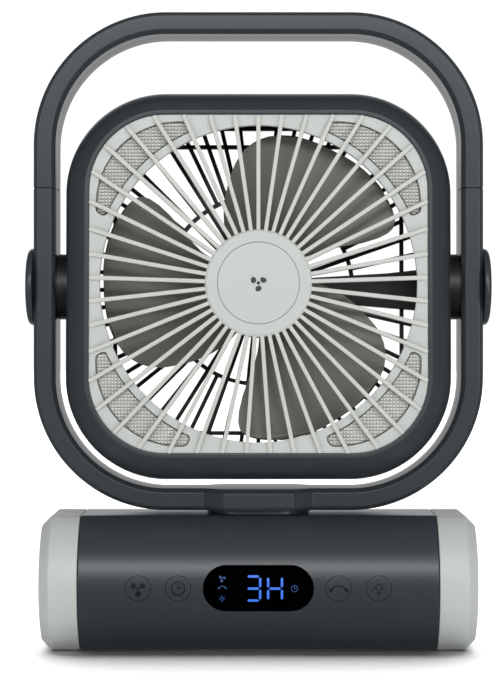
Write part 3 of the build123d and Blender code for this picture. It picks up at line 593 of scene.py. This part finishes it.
def lampSymbol(x, z, size, line):
    # Bulb with its cap and rays
    outlines = [band(x, z, 0.42 * size - line, 0.42 * size, -50, 230),
                stroke((x - 0.2 * size, z - 0.55 * size), (x + 0.2 * size, z - 0.55 * size), line),
                stroke((x - 0.14 * size, z - 0.74 * size), (x + 0.14 * size, z - 0.74 * size), line * 0.8)]
    for angle in (-20, 35, 90, 145, 200):
        ray = [(x + reach * size * cos(radians(angle)), z + reach * size * sin(radians(angle)))
               for reach in (0.62, 0.9)]
        outlines.append(stroke(*ray, line * 0.8))
    return outlines


def drawFlat(bm, outlines, front, back):
    for outline in outlines:
        prism(bm, outline, front, back)


# Each symbol: how it is drawn, height above the axis, size, and the fan's turn or the others' line width
keySymbols = {
    "button_fan": (fanSymbol, 0, 4.3, 30),
    "button_timer": (clockSymbol, 0, 3.7, 0.7),
    "button_swing": (swingSymbol, -0.6, 4.4, 0.7),
    "button_light": (lampSymbol, 0.6, 4.6, 0.6),
}
# The same on the display, each after its place across
displaySymbols = ((-18.4, fanSymbol, 5.0, 1.9, 20), (-18.3, swingSymbol, 0.4, 1.9, 0.35),
                  (-18.4, lampSymbol, -5.2, 1.9, 0.32), (18.3, clockSymbol, 0, 1.75, 0.32))


def makeDisplay():
    outline = slot(controls["window"], controls["windowHeight"], 48)
    window = solid([(x, z + tube["axis"]) for x, z in outline], *throughFront)
    window = combine(window, tubeBar(controls["windowSunk"], -60, 60), "INTERSECT")
    window = combine(window, tubeBar(tube["wall"], -60, 60))
    finishPiece("displayWindow", window, "base", displayGlass, ["display_window"], smooth=30)
    lit = bmesh.new()
    for figure, x in (("3", digits["x"]), ("H", digits["x"] + digits["pitch"])):
        for name in figures[figure]:
            sideX, sideZ, upright = segmentPlaces[name]
            reach = digits["height"] / 2 if upright else digits["width"]
            segment(lit, x + sideX * digits["width"] / 2, sideZ * digits["height"] / 2,
                    reach - 2 * digits["gap"], upright)
    onTube(lit, controls["windowSunk"])
    finishPiece("displayFigures", lit, "base", litBlue)
    small = bmesh.new()
    for x, draw, z, size, detail in displaySymbols:
        drawFlat(small, draw(x, z, size, detail), -digits["depth"], digits["inside"])
    onTube(small, controls["windowSunk"])
    finishPiece("displaySymbols", small, "base", dimBlue)


def makeButtons():
    for name, x in zip(controls["names"], buttonX):
        key = solid(circle(controls["radius"], x, tube["axis"]), throughFront[0], controls["keyBack"])
        key = combine(key, tubeBar(controls["sunk"], x - 20, x + 20), "INTERSECT")
        bevelSharp(key, controls["keyBevel"], 2, only=lambda p: p.y < -38)
        back, front, radius = controls["flangeBack"], controls["flangeFront"], controls["flange"]
        join(key, lathe([(0, back), (radius, back), (radius, front), (0, front)], 48,
                        Matrix.Translation((x, 0, tube["axis"])) @ facingFront))
        finishPiece(name.replace("button_", "key_"), key, name, slateAbs, [name], smooth=15)
        sign = bmesh.new()
        draw, z, size, detail = keySymbols[name]
        drawFlat(sign, draw(x, z, size, detail), -controls["relief"], controls["inside"])
        onTube(sign, controls["sunk"])
        finishPiece(name.replace("button_", "symbol_"), sign, name, keyInk)


makeDisplay()
makeButtons()
print("display and keys made")


# ---- ring: yoke and handle ----

ringLow, ringHigh = nodeBox("yoke_front_shell")
archLow, archHigh = nodeBox("handle_front_shell")
cornerX = 48.0
ring = {
    "outer": ringHigh.x - cornerX, "bar": 11.4, "depth": -archLow.y, "outerChamfer": 2.0, "innerChamfer": 2.2,
    "seam": 0.12, "low": ringLow.z, "high": archHigh.z, "cut": archLow.z, "saddleHalf": 17.8,
    "saddleFoot": 28.4, "saddleDepth": -archLow.y * 8 / 15, "pivotHole": 12.0, "lowPart": pivot.z - 60,
    "bevel": 0.3, "wellFloor": 9.5,
}


def ringHalfProfile():
    outer, depth = ring["outer"], ring["depth"]
    inner = outer - ring["bar"]
    return [(inner, -ring["seam"]), (inner, -depth + ring["innerChamfer"]), (inner + ring["innerChamfer"], -depth),
            (outer - ring["outerChamfer"], -depth), (outer, -depth + ring["outerChamfer"]), (outer, -ring["seam"])]


def pushSaddle(bm):
    # Brings the middle of the bottom bar forwards, with slopes at both ends
    stations = [s * x for x in (ring["saddleFoot"], ring["saddleHalf"]) for s in (-1, 1)]
    for x in stations:
        geom = [f for f in bm.faces if f.calc_center_median().z < ring["lowPart"]]
        geom = geom + [e for f in geom for e in f.edges] + [v for f in geom for v in f.verts]
        bmesh.ops.bisect_plane(bm, geom=list(set(geom)), dist=0.001, plane_co=(x, 0, 0), plane_no=(1, 0, 0))
    for v in bm.verts:
        if abs(v.co.x) < ring["saddleHalf"] + 0.01 and v.co.z < ring["lowPart"] and v.co.y < -5:
            v.co.y -= ring["saddleDepth"]


def cutRing(bm, above):
    # Keeps what lies above or below the seam, and closes the cut
    plane = (0, 0, ring["cut"] + (ring["seam"] if above else -ring["seam"]))
    cut = bmesh.ops.bisect_plane(bm, geom=everything(bm), dist=0.0001, plane_co=plane, plane_no=(0, 0, 1),
                                 clear_inner=above, clear_outer=not above)["geom_cut"]
    bmesh.ops.edgenet_fill(bm, edges=edgesOf(cut))
    bmesh.ops.recalc_face_normals(bm, faces=bm.faces)


# Places (x, z) of the screws on the right, in the back of each half
ringScrews = {"yoke": ((111.4, 160.0), (40.0, 77.5)), "handle": ((111.4, 255.5), (30.0, 325.7))}
screw = {"radius": 2.6, "well": 2.9, "edge": 0.9, "shoulder": 1.4, "crown": 1.7, "top": 1.8, "slot": 0.35,
         "reach": 0.62}


def crossRod(radius, steps, height=0.0):
    # Cutter along X
    rod = bmesh.new()
    bmesh.ops.create_cone(rod, cap_ends=True, segments=steps, radius1=radius, radius2=radius, depth=400)
    rod.transform(Matrix.Translation((0, 0, height)) @ facingRight)
    return rod


def makeRing():
    for part, above, shells in (("yoke", False, ("yoke_front_shell", "yoke_rear_shell")),
                                ("handle", True, ("handle_front_shell", "handle_rear_shell"))):
        half = bmesh.new()
        low = ring["low"] + ring["outer"]
        high = ring["high"] - ring["outer"]
        sweepLoop(half, ringHalfProfile(), cornerX, low, high, 40)
        if not above:
            pushSaddle(half)
        cutRing(half, above)
        bevelSharp(half, ring["bevel"], 2, angle=20)
        if not above:
            half = combine(half, crossRod(ring["pivotHole"], 64, pivot.z))
        rear = mirrored(half)
        wells = bmesh.new()
        for x, z in ringScrews[part]:
            for side in (-1, 1):
                prism(wells, circle(screw["well"], side * x, z, 32), ring["wellFloor"], 30)
        rear = combine(rear, wells)
        finishPiece(shells[0].replace("_front_shell", "Front"), half, "yoke", slateAbs, [shells[0]])
        finishPiece(shells[1].replace("_rear_shell", "Rear"), rear, "yoke", slateAbs, [shells[1]])


makeRing()
print("ring made")


# ---- pivots and swivel ----

knobLow, knobHigh = nodeBox("tilt_knob_right")
knob = {"radius": (knobHigh.z - knobLow.z) / 2, "inner": knobLow.x, "outer": knobHigh.x, "round": 2.4, "dome": 0.5,
        "socket": 9.2, "socketDepth": 2.3, "edge": 0.4}
collar = {"radius": 17.2, "start": 98.4, "end": 105.2, "edge": 0.4, "journal": 8.9, "bore": 5, "tail": 119.5,
          "flange": 13.8, "flangeStart": 95.8, "flangeEnd": 97.8}
discLow, discHigh = nodeBox("swivel_disc")


def makePivots():
    # Domed knob, with a socket for the end of the pivot
    r, rounding, outer, inner = knob["radius"], knob["round"], knob["outer"] - knob["dome"], knob["inner"]
    profile = [(0, inner + knob["socketDepth"]), (knob["socket"], inner + knob["socketDepth"]),
               (knob["socket"], inner), (r - knob["edge"], inner), (r, inner + knob["edge"])]
    profile += arc((r - rounding, outer - rounding), rounding, 0, 90, 8)
    crown = [(r - rounding) * (1 - i / 8) for i in range(1, 9)]
    profile += [(q, outer + knob["dome"] * (1 - (q / (r - rounding)) ** 2)) for q in crown]
    finishPair("knob", lathe(profile, 128, facingRight), "head", slateAbs, "tilt_knob")
    # Hollow journal with a flange inside the head and a collar outside it
    r, bore, journal, edge = collar["radius"], collar["bore"], collar["journal"], collar["edge"]
    start, end, flange = collar["start"], collar["end"], collar["flange"]
    profile = [(bore, collar["flangeStart"]), (flange, collar["flangeStart"]), (flange, collar["flangeEnd"]),
               (journal, collar["flangeEnd"]), (journal, start), (r - edge, start), (r, start + edge),
               (r, end - edge), (r - edge, end), (journal, end), (journal, collar["tail"]),
               (bore, collar["tail"]), (bore, collar["flangeStart"])]
    finishPair("pivot", lathe(profile, 96, facingRight), "head", blackAbs, "pivot_shaft")


def makeSwivelDisc():
    disc = solid(slot(discHigh.x - discLow.x, discHigh.y - discLow.y, 40), 0, discHigh.z - discLow.z)
    bevelSharp(disc, 0.25, 2, angle=60)
    disc.transform(Matrix.Translation((0, 0, discLow.z)) @ Matrix.Rotation(pi / 2, 4, "X"))
    finishPiece("swivelDisc", disc, "yoke", slateAbs, ["swivel_disc"])


makePivots()
makeSwivelDisc()
print("pivots made")


# ---- head shells ----

# Radii are taken about the head's corners: the wall drafts in at an angle, then rounds over to the lip
head = {"outer": 53.4, "depth": 31.0, "draft": 5, "straight": 12.0, "round": 25.6, "wall": 2.0, "seam": 0.1,
        "frontLip": 39.1, "rearLip": 40.0, "frontRound": 0.35, "rearRound": 0.3, "pivotHole": 9.1}


def headEdge(inset, end, steps):
    # Half of the wall's section from the joint plane to the depth given, drawn inside the outer face
    draft = radians(head["draft"])
    radius = head["round"] - inset
    centreR = head["outer"] - head["straight"] * tan(draft) - head["round"] * cos(draft)
    centreY = head["straight"] - head["round"] * sin(draft)
    finish = asin((end - centreY) / radius)
    angles = [draft + (finish - draft) * i / steps for i in range(steps + 1)]
    turned = [(centreR + radius * cos(a), -centreY - radius * sin(a)) for a in angles]
    start = turned[0][0] - (turned[0][1] + head["seam"]) * tan(draft)
    return [(start, -head["seam"])] + turned


def headHalf(opening, lip):
    # Shell profile from the joint plane round the rounded edge to the lip, and back inside
    depth, wall = head["depth"], head["wall"]
    profile = headEdge(0, depth, 20) + lip + [(opening, -depth + wall)]
    profile += list(reversed(headEdge(wall, depth - wall, 12)))
    bm = bmesh.new()
    sweepLoop(bm, profile, cornerX, -cornerX, cornerX, 36)
    return combine(bm, crossRod(head["pivotHole"], 48))


def makeHeadShells():
    edge, depth, rounding = head["frontLip"], -head["depth"], head["frontRound"]
    front = headHalf(edge, [(edge + rounding, depth), (edge + 0.1, depth + 0.1), (edge, depth + rounding)])
    finishPiece("headFrame", front, "head", slateAbs, ["head_front_frame"])
    edge, rounding = head["rearLip"], head["rearRound"]
    rear = mirrored(headHalf(edge, [(edge + rounding, depth), (edge, depth + rounding)]))
    finishPiece("headRear", rear, "head", slateAbs, ["head_rear_shell"])


makeHeadShells()
print("head shells made")


# ---- front grille ----

grille = {
    "half": 86.9, "flange": 88.7, "front": -30.0, "step": -28.7, "back": -26.5, "opening": 81.4, "ribs": 45,
    "ribWidth": 2.1, "ribHub": -34.3, "ribRim": -31.9, "ribBack": -29.2, "hub": 27.5, "hubFront": -35.0,
    "hubRound": 1.8, "badge": 20.9, "badgeGap": 0.18, "badgeDepth": 1.2, "markSize": 4.6, "rimBevel": 0.4,
    "holeBevel": 0.35, "ribBevel": 0.42, "ribCuts": (0.35, 0.7, 0.94, 0.985),
}
throughGrille = (-50, 0)
lens = {"inner": 86.0, "half": 83.0, "radius": 42.2, "spread": 21.0, "gap": 0.5, "round": 1.9, "front": -28.9,
        "back": -26.4, "prism": 1.7, "prismHeight": 1.0, "apexDrop": 0.45, "rows": 34, "middle": 62,
        "inset": -0.2, "prismRoot": 1.2, "flange": 1.3, "flangeDepth": 1.2}
chip = {"half": 1.4, "front": -24.4, "back": -23.6, "bevel": 0.2, "count": 5, "pitch": 8.4, "distance": 90.6,
        "bow": 1.6}


def rimReach(angle, half, centre):
    # Distance from the middle to the edge of a rounded square
    c, s = abs(cos(angle)), abs(sin(angle))
    c, s = max(c, s), min(c, s)
    straight = half / c
    if straight * s <= centre:
        return straight
    along = centre * (c + s)
    return along + sqrt(along ** 2 - 2 * centre ** 2 + (half - centre) ** 2)


def lensOutline(quarter, grow):
    # Between the air opening and the rim's corner, with rounded ends
    steps = 18
    half, centre = lens["half"] + grow, lens["half"] - lens["radius"]
    inner = lens["inner"] - grow
    spread = radians(lens["spread"]) + grow / inner
    angles = [pi / 4 - spread + 2 * spread * i / steps for i in range(steps + 1)]
    outerArc = [(rimReach(a, half, centre) * cos(a), rimReach(a, half, centre) * sin(a)) for a in angles]
    innerArc = [(inner * cos(a), inner * sin(a)) for a in reversed(angles)]
    bm = bmesh.new()
    face = bm.faces.new([bm.verts.new((x, 0, z)) for x, z in outerArc + innerArc])
    corners = [face.verts[i] for i in (0, steps, steps + 1, 2 * steps + 1)]
    bmesh.ops.bevel(bm, geom=corners, offset=lens["round"] + grow * 0.3, segments=6, profile=0.5,
                    affect="VERTICES", material=-1, clamp_overlap=True)
    bm.transform(Matrix.Rotation(-pi / 2 * quarter, 4, "Y"))
    bm.faces.ensure_lookup_table()
    outline = [(v.co.x, v.co.z) for v in bm.faces[0].verts]
    bm.free()
    return outline


def makeRim():
    half, face = grille["half"], grille["front"] + 0.1
    rim = solid(roundedSquare(half, half - cornerX, 32), grille["front"], grille["step"])
    bevelSharp(rim, grille["rimBevel"], 3, angle=60, only=lambda p: p.y < face)
    half = grille["flange"]
    flange = solid(roundedSquare(half, half - cornerX, 32), grille["step"] - 0.3, grille["back"])
    rim = combine(rim, flange, "UNION")
    cutter = solid(circle(grille["opening"], steps=180), *throughGrille)
    for quarter in range(4):
        prism(cutter, lensOutline(quarter, lens["gap"]), *throughGrille)
    rim = combine(rim, cutter)
    bevelSharp(rim, grille["holeBevel"], 2, angle=60,
               only=lambda p: p.y < face and max(abs(p.x), abs(p.z)) < lens["inner"])
    finishPiece("grilleRim", rim, "head", greyAbs, ["front_grille"], smooth=30)


def makeRibs():
    # Each rib slopes back from the hub to the rim, and its end dips into the rim
    ribs = bmesh.new()
    high, low, back, half = grille["ribHub"], grille["ribRim"], grille["ribBack"], grille["ribWidth"] / 2
    for i in range(grille["ribs"]):
        angle = pi / 2 + tau * i / grille["ribs"]
        start = grille["hub"] - 1.5
        end = rimReach(angle, grille["half"] - 0.1, cornerX)
        one = boxBetween((start, high, -half), (end, back, half))
        for cut in grille["ribCuts"]:
            bmesh.ops.bisect_plane(one, geom=everything(one), plane_co=(start + (end - start) * cut, 0, 0),
                                   plane_no=(1, 0, 0), dist=0.001)
        for v in one.verts:
            t = max(0.0, (v.co.x - start) / (end - start))
            if v.co.y < back - 1:
                v.co.y = high + (low - high) * t ** 1.5
                v.co.y += 0.5 * max(0.0, (t - 0.94) / 0.045) ** 2
        bevelSharp(one, grille["ribBevel"], 2, angle=50, only=lambda p: p.y < back - 0.6)
        one.transform(Matrix.Rotation(-angle, 4, "Y"))
        join(ribs, one)
    finishPiece("grilleRibs", ribs, "head", ribAbs)


def makeHub():
    r, front, back, rounding = grille["hub"], -grille["hubFront"], -grille["ribBack"] - 0.4, grille["hubRound"]
    seat, well = grille["badge"] + grille["badgeGap"], front - grille["badgeDepth"]
    profile = [(0, well), (seat, well), (seat, front - 0.15), (seat + 0.25, front)]
    profile += arc((r - rounding, front - rounding), rounding, 90, 0, 8) + [(r, back), (r - 2, back), (0, back)]
    finishPiece("grilleHub", lathe(profile, 180, facingFront), "head", greyAbs)
    r = grille["badge"]
    profile = [(0, well), (r, well), (r, front - 0.35), (r - 0.12, front - 0.12), (r - 0.35, front - 0.02)]
    profile += [(r * (1 - i / 6), front + 0.08 * i / 6) for i in range(1, 7)]
    notch = solid([(-0.7, r + 0.5), (0.7, r + 0.5), (0, r - 0.9)], *throughGrille)
    badge = combine(lathe(profile, 180, facingFront), notch)
    finishPiece("hubBadge", badge, "head", greyAbs, ["hub_badge"])
    mark = bmesh.new()
    drawFlat(mark, fanSymbol(0, 0, grille["markSize"], 30), -front - 0.11, -front + 0.3)
    finishPiece("badgeMark", mark, "head", padInk)


def makeLenses():
    names = ("led_lens_upper_right", "led_lens_upper_left", "led_lens_lower_left", "led_lens_lower_right")
    for quarter, name in enumerate(names):
        outline = lensOutline(quarter, lens["inset"])
        prisms = bmesh.new()
        count = lens["rows"]
        bmesh.ops.create_grid(prisms, x_segments=count, y_segments=count, size=lens["prism"] * count / 2)
        tips = bmesh.ops.poke(prisms, faces=prisms.faces, offset=lens["prismHeight"])["verts"]
        bmesh.ops.translate(prisms, verts=tips, vec=(0, -lens["apexDrop"], 0))
        bottom = [e for e in prisms.edges if e.is_boundary]
        skirt = vertsOf(bmesh.ops.extrude_edge_only(prisms, edges=bottom)["geom"])
        bmesh.ops.translate(prisms, verts=skirt, vec=(0, 0, -1.5))
        bmesh.ops.contextual_create(prisms, geom=[e for e in prisms.edges if e.is_boundary])
        bmesh.ops.recalc_face_normals(prisms, faces=prisms.faces)
        side = Matrix.Rotation(-pi / 2 * quarter, 4, "Y") @ Vector((lens["middle"], 0, lens["middle"]))
        prisms.transform(Matrix.Translation((side.x, lens["front"] + lens["prismHeight"], side.z)) @ facingFront)
        face = combine(prisms, solid(outline, lens["front"], lens["back"]), "INTERSECT")
        join(face, solid(outline, lens["front"] + lens["prismRoot"], lens["back"]))
        outline = lensOutline(quarter, lens["flange"])
        join(face, solid(outline, lens["back"], lens["back"] + lens["flangeDepth"]))
        finishPiece(name.replace("led_", ""), face, "head", lensPlastic, [name], smooth=20)


def makeLeds():
    # Light-emitting chips on the boards behind the lenses
    chips = bmesh.new()
    half = chip["half"]
    for quarter in range(4):
        for i in range(chip["count"]):
            offset = i - (chip["count"] - 1) / 2
            angle = radians(45 + 90 * quarter + offset * chip["pitch"])
            one = boxBetween((-half, chip["front"], -half), (half, chip["back"], half))
            bevelSharp(one, chip["bevel"], 2)
            distance = chip["distance"] + chip["bow"] * cos(offset * 0.7)
            one.transform(Matrix.Translation((distance * cos(angle), 0, distance * sin(angle)))
                          @ Matrix.Rotation(-angle, 4, "Y"))
            join(chips, one)
    finishPiece("ledChips", chips, "head", ledYellow)


makeRim()
makeRibs()
makeHub()
makeLenses()
makeLeds()
print("front grille made")


# ---- rotor ----

rotor = {"hub": 24.0, "front": -22.0, "back": -3.0, "tip": 80.8, "root": 22.0, "blades": 3, "thick": 1.5,
         "depth": -20.2, "rise": 16.4, "rows": 26, "columns": 34, "camber": 1.6, "edge": 0.5, "hubRound": 3,
         "wall": 2, "crown": 2.4}
# Edges of the upper blade: radius with the angle of the leading and of the trailing edge
bladeEdges = [(20, 126, 30), (27, 124, 31), (34, 120.5, 29.5), (42, 115.5, 26.5), (50, 110.3, 23.5),
              (58, 105, 21.8), (66, 100.3, 21.2), (72, 95.6, 21.6), (76, 91.2, 22.8), (78.6, 86.4, 25.4),
              (80.2, 80.6, 30.4), (80.8, 75.5, 35.8)]


def edgeAngle(radius, column):
    # Angle at a radius, between the listed ones
    for (r0, *a0), (r1, *a1) in zip(bladeEdges, bladeEdges[1:]):
        if radius <= r1:
            t = (radius - r0) / (r1 - r0)
            return a0[column] + (a1[column] - a0[column]) * t
    return bladeEdges[-1][1 + column]


def bladeSheet():
    sheet = bmesh.new()
    bmesh.ops.create_grid(sheet, x_segments=rotor["columns"], y_segments=rotor["rows"], size=1)
    for v in sheet.verts:
        across, out = (v.co.x + 1) / 2, (v.co.y + 1) / 2
        radius = rotor["root"] + (rotor["tip"] - rotor["root"]) * (1 - (1 - out) ** 2)
        lead, trail = edgeAngle(radius, 0), edgeAngle(radius, 1)
        angle = trail + (lead - trail) * across
        depth = rotor["depth"] + rotor["rise"] * (angle - 15) / 105
        depth += rotor["camber"] * sin(pi * across) * (radius / rotor["tip"])
        v.co = (radius * cos(radians(angle)), depth, radius * sin(radians(angle)))
    inside = [v for v in sheet.verts if not v.is_boundary]
    for _ in range(12):
        bmesh.ops.smooth_vert(sheet, verts=inside, factor=0.5, use_axis_x=False, use_axis_y=True,
                              use_axis_z=False)
    bmesh.ops.recalc_face_normals(sheet, faces=sheet.faces)
    bmesh.ops.solidify(sheet, geom=sheet.faces, thickness=rotor["thick"])
    bevelSharp(sheet, rotor["edge"], 2, angle=50)
    return sheet


def makeRotor():
    r, front, back = rotor["hub"], -rotor["front"], -rotor["back"]
    inner, under, rounding = r - rotor["wall"], front - rotor["crown"], rotor["hubRound"]
    profile = [(0, under), (inner, under), (inner, back), (r, back)]
    profile += arc((r - rounding, front - rounding), rounding, 0, 90, 8)
    profile += [(5, front), (4.6, front - 0.3), (0, front - 0.3)]
    whole = lathe(profile, 96, facingFront)
    for i in range(rotor["blades"]):
        sheet = bladeSheet()
        sheet.transform(Matrix.Rotation(tau * i / rotor["blades"], 4, "Y"))
        join(whole, sheet)
    finishPiece("fanBlades", whole, "rotor", bladeAbs, ["fan_rotor"], smooth=40)


makeRotor()
print("rotor made")


# ---- rear grille ----

rear = {"half": 89.0, "edge": 86.4, "bars": 56, "width": 2.2, "front": 25.5, "back": 28.5, "inner": 51.0,
        "square": 77.5, "ringHalf": 1.1, "barBevel": 0.45, "ringBevel": 0.3, "barStart": 22, "cup": 19.2,
        "cupFront": 12, "motor": 17.6, "motorBack": 26.2, "disc": 26.0, "discThick": 2}
duct = {"outline": ((18.2, 5.6), (88.6, 9.8), (88.6, -11.6), (18.2, -5.6)), "front": 21.0, "bevel": 0.5}


def makeRearGrille():
    whole = bmesh.new()
    front, back, wide = rear["front"], rear["back"], rear["width"] / 2
    for i in range(rear["bars"]):
        angle = tau * i / rear["bars"]
        start = rear["barStart"] if i % 2 else rear["inner"]
        end = rimReach(angle, rear["edge"] + 1, cornerX)
        one = boxBetween((start, front, -wide), (end, back, wide))
        bevelSharp(one, rear["barBevel"], 2)
        one.transform(Matrix.Rotation(-angle, 4, "Y"))
        join(whole, one)
    low, high = rear["inner"] - rear["ringHalf"], rear["inner"] + rear["ringHalf"]
    join(whole, lathe([(low, -back), (high, -back), (high, -front), (low, -front), (low, -back)], 128,
                      facingFront))
    square, half = rear["square"], rear["ringHalf"]
    for outer, inner in ((rear["half"], rear["edge"]), (square + half, square - half)):
        edge = bmesh.new()
        outer, inner = outer - cornerX, inner - cornerX
        sweepLoop(edge, [(outer, front), (outer, back), (inner, back), (inner, front)], cornerX, -cornerX,
                  cornerX, 24)
        bevelSharp(edge, rear["ringBevel"], 2)
        join(whole, edge)
    disc, cup, motor, step = rear["disc"], rear["cup"], rear["motor"], -back + rear["discThick"]
    top, seat = -rear["cupFront"], -rear["motorBack"]
    profile = [(0, -back), (disc - 0.6, -back), (disc, -back + 0.6), (disc, step), (cup, step), (cup, top - 0.4),
               (cup - 0.4, top), (motor, top), (motor, seat), (0, seat)]
    join(whole, lathe(profile, 96, facingFront))
    finishPiece("rearGrille", whole, "head", blackAbs, ["rear_grille"], smooth=30)


def makeDuct():
    # Closed channel for the motor's lead, widening towards the right-hand pivot
    channel = solid(duct["outline"], duct["front"], rear["back"])
    bevelSharp(channel, duct["bevel"], 2)
    finishPiece("cableDuct", channel, "head", blackAbs, ["duct_cover", "motor_cable"])


makeRearGrille()
makeDuct()
print("rear grille made")


# ---- screws, feet and everything carried over from the frame ----


def makeScrews(name, places, depth, body, node):
    # Pan heads with a cross recess, seen from behind
    heads = bmesh.new()
    radius, reach, half = screw["radius"], screw["radius"] * screw["reach"], screw["slot"]
    for x, z in places:
        one = lathe([(0, 0), (radius, 0), (radius, screw["edge"]), (radius - 0.5, screw["shoulder"]),
                     (radius * 0.5, screw["crown"]), (0, screw["top"])], 32)
        for turn in (0, pi / 2):
            arm = boxBetween((-reach, -half, screw["edge"]), (reach, half, 3))
            arm.transform(Matrix.Rotation(turn, 4, "Z"))
            one = combine(one, arm)
        one.transform(Matrix.Translation((x, depth, z)) @ Matrix.Rotation(-pi / 2, 4, "X"))
        join(heads, one)
    finishPiece(name, heads, body, blackSteel, [node])


def carriedOver():
    looks = {
        slateAbs: ("base_floor", "handle_tongues", "swivel_post"),
        blackAbs: ("friction_washers", "tact_switches", "battery_cradle", "air_ring", "head_pillars"),
        footRubber: ("base_feet",),
        acetal: ("swing_pinion", "swing_gear", "swivel_bush", "pivot_bush_right", "pivot_bush_left"),
        boardGreen: ("control_board", "power_board"),
        boardWhite: ("led_boards",),
        cellFilm: ("battery_cells",),
        plainSteel: ("charge_port", "swing_motor", "swivel_retainer", "motor_can", "motor_bearings", "motor_shaft",
                     "rotor_nut"),
        sheetSteel: ("motor_armature", "motor_magnets"),
        blackSteel: ("base_screws",),
        displayGlass: ("display_module",),
    }
    for material, names in looks.items():
        for name in names:
            mesh = frame["nodes"][name].data
            mesh.materials.clear()
            mesh.materials.append(material)


ringPlaces = [(side * x, z) for part in ("yoke", "handle") for x, z in ringScrews[part] for side in (-1, 1)]
headPlaces = [(x, z) for x in (-74, 74) for z in (-74, 74)]
makeScrews("ringScrewHeads", ringPlaces, ring["wellFloor"], "yoke", "ring_screws")
makeScrews("headScrewHeads", headPlaces, rear["back"], "head", "head_screws")
carriedOver()
print("screws and carried-over nodes finished")


# ---- studio ----


def makeStudio():
    floor = bmesh.new()
    bmesh.ops.create_grid(floor, x_segments=1, y_segments=1, size=studio["floor"])
    floor.transform(toMetres @ Matrix.Translation((0, 0, -studio["floorDrop"])))
    mesh = bpy.data.meshes.new("floor")
    floor.to_mesh(mesh)
    floor.free()
    mesh.materials.append(newMaterial("paintedFloor", {"Base Color": linear("#f4f4f4"), "Roughness": 0.7})[0])
    obj = bpy.data.objects.new("floor", mesh)
    scene.collection.objects.link(obj)
    obj.visible_glossy = False
    fan = bpy.data.collections.new("fanPieces")
    for piece in scene.objects:
        if piece.type == "MESH" and piece is not obj:
            fan.objects.link(piece)
    # The room is white straight behind the fan and dim all round it
    world = bpy.data.worlds.new("studio")
    scene.world = world
    world.use_nodes = True
    tree = world.node_tree
    direction = addNode(tree, "TexCoord", {}).outputs["Generated"]
    split = addNode(tree, "SeparateXYZ", {}, {"Vector": direction})
    level = addNode(tree, "MapRange", {"From Min": studio["dimUpTo"], "From Max": studio["brightFrom"],
                                       "To Min": studio["room"], "To Max": studio["behind"]},
                    {"Value": split.outputs["Y"]})
    # Seen directly, the backdrop is white from every side
    seen = addNode(tree, "LightPath", {}).outputs["Is Camera Ray"]
    backdrop = addNode(tree, "MapRange", {"To Max": studio["behind"]}, {"Value": seen})
    shown = addNode(tree, "Math", {"operation": "MAXIMUM"}, {0: level.outputs["Result"],
                                                             1: backdrop.outputs["Result"]})
    tree.links.new(shown.outputs[0], tree.nodes["Background"].inputs["Strength"])
    tree.nodes["Background"].inputs["Color"].default_value = (1, 1, 1, 1)
    # A soft light from above and behind keeps the floor white, and the base throws its shadow forwards
    sun = bpy.data.lights.new("floorLight", "SUN")
    sun.energy = studio["floorSun"]
    sun.angle = radians(studio["sunSpread"])
    lamp = bpy.data.objects.new("floorLight", sun)
    scene.collection.objects.link(lamp)
    lamp.rotation_euler = (-radians(studio["sunTilt"]), 0, 0)
    lit = bpy.data.collections.new("litFloor")
    lit.objects.link(obj)
    lamp.light_linking.receiver_collection = lit
    shading = bpy.data.collections.new("shadingBase")
    for name in ("housingShell", "endCapRight", "endCapLeft"):
        shading.objects.link(bpy.data.objects[name])
    lamp.light_linking.blocker_collection = shading
    for name, look in softboxes.items():
        addLight(name, fan, *look)
    scene.view_settings.view_transform = "Standard"


makeStudio()
print("scene ready")
